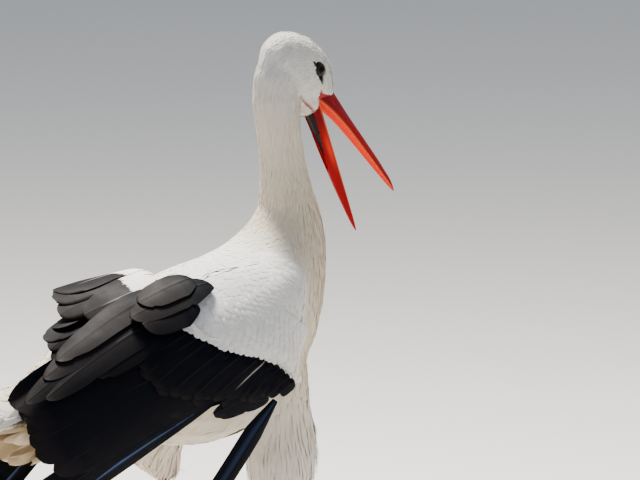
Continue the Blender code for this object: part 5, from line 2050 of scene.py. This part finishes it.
# ---- legs
class Leg:
    """The scaled skin of one shank, tarsus and foot, with its four claws."""

    VOXEL, SWELL = 0.0011, 0.0004
    CLAWS = ("inner", "middle", "outer", "hind")

    def __init__(self, side: Side, finishes: Finishes) -> None:
        self.side, self.finishes = side, finishes

    def skin(self) -> Object:
        """One surface over shank, tarsus and foot."""
        label = self.side.label
        nodes = tuple(f"{part}_{label}" for part in ("shank", "tarsus", "foot"))
        mesh = remeshed(joined_copies(nodes, self.SWELL), self.VOXEL, 6)
        mesh.shade_smooth()
        piece = link_mesh(f"leg_skin_{label}", mesh, self.finishes.legs)
        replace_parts(piece, *nodes)
        return piece

    def claws(self) -> list[Object]:
        """Finer claws in the places of the plain ones."""
        pieces = []
        for toe in self.CLAWS:
            node = f"claw_{toe}_{self.side.label}"
            mesh = merged_copy(node)
            piece = link_mesh(node + "_horn", mesh, self.finishes.claws)
            mesh.shade_smooth()
            round_off = piece.modifiers.new("round_off", "SUBSURF")
            round_off.levels = round_off.render_levels = 2
            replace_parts(piece, node)
            pieces.append(piece)
        return pieces


# ---- studio
@dataclass(frozen=True)
class Softbox:
    """One rectangular studio lamp."""

    name: str
    place: tuple[float, float, float]
    size: float
    power: float
    colour: str


@dataclass
class Studio:
    """Plain pale floor, soft lamps and the camera."""

    aim: tuple[float, float, float] = (0.166 + CENTRE_X, -0.0197, 0.5813)
    azimuth: float = -40.0
    elevation: float = 9.0
    distance: float = 22.0
    lens: float = 1070.4
    floor: float = 200.0  # half its width, so that its edge is out of sight
    sky: str = "#D9E2EE"
    sky_strength: float = 0.56
    lit: tuple[float, float, float] = (0.02, 0.0, 0.5)  # what the lamps point at
    lamps: tuple[Softbox, ...] = (
        Softbox("key", (0.55, 1.35, 3.05), 0.7, 350.0, "#FFF8EE"),
        Softbox("camera_fill", (-1.8, -2.4, 1.6), 2.2, 6.0, "#DFE9FF"),
        Softbox("front_fill", (2.2, -0.6, 1.2), 1.6, 6.0, "#FFEBD2"),
    )

    def build(self) -> None:
        """Sets up floor, lamps, surroundings and camera."""
        bm = bmesh.new()
        bmesh.ops.create_grid(bm, x_segments=1, y_segments=1, size=self.floor)
        mesh = new_mesh("floor", bm)
        mesh.materials.append(PaleFloor().make())
        floor = new_object("floor", mesh)
        for lamp in self.lamps:
            data = bpy.data.lights.new(lamp.name, "AREA")
            data.energy, data.size, data.color = lamp.power, lamp.size, hex_linear(lamp.colour)[:3]
            light = new_object(lamp.name, data)
            light.location = lamp.place
            light.rotation_euler = (Vector(self.lit) - light.location).to_track_quat("-Z", "Y").to_euler()
        world = bpy.data.worlds.new("studio_air")
        world.use_nodes = True
        sky = world.node_tree.nodes["Background"]
        plug(sky, {"Color": self.sky, "Strength": self.sky_strength})
        bpy.context.scene.world = world
        self.camera()

    def camera(self) -> None:
        """Places the long-lens camera."""
        azimuth, elevation = math.radians(self.azimuth), math.radians(self.elevation)
        level = math.cos(elevation)
        back = Vector((math.sin(azimuth) * level, -math.cos(azimuth) * level, math.sin(elevation)))
        data = bpy.data.cameras.new("camera")
        data.lens, data.sensor_width = self.lens, 36.0
        camera = new_object("camera", data)
        camera.location = Vector(self.aim) + back * self.distance
        camera.rotation_euler = (-back).to_track_quat("-Z", "Y").to_euler()
        bpy.context.scene.camera = camera


# ---- the bird
def report(*pieces: Object) -> None:
    """Says how many faces each piece has."""
    for piece in pieces:
        LOG.info("%s: %d faces", piece.name, len(piece.data.polygons))


def main() -> None:
    """Dresses the whole bird, piece by piece."""
    logging.basicConfig(level=logging.INFO, format="%(message)s")
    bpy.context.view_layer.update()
    finishes, markings = Finishes(), Markings()
    Studio().build()
    outline = Outline()
    report(BodySkin().build(outline, markings, finishes))
    wings = [FoldedWing(side, finishes, markings) for side in Side]
    for wing in wings:
        report(*wing.build())
    report(*Coat(outline, markings, finishes, wings).build())
    for side in Side:
        eye, leg = Eye(side, finishes), Leg(side, finishes)
        report(eye.ball(), eye.lids(), leg.skin(), *leg.claws())
    report(LoosePrimary().build(finishes), Tail(finishes, markings).build())
    report(*(mandible.build(finishes) for mandible in (UPPER_BILL, LOWER_BILL)))
    report(ThroatPouch().build(finishes))


if __name__ == "__main__":
    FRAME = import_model()
    main()
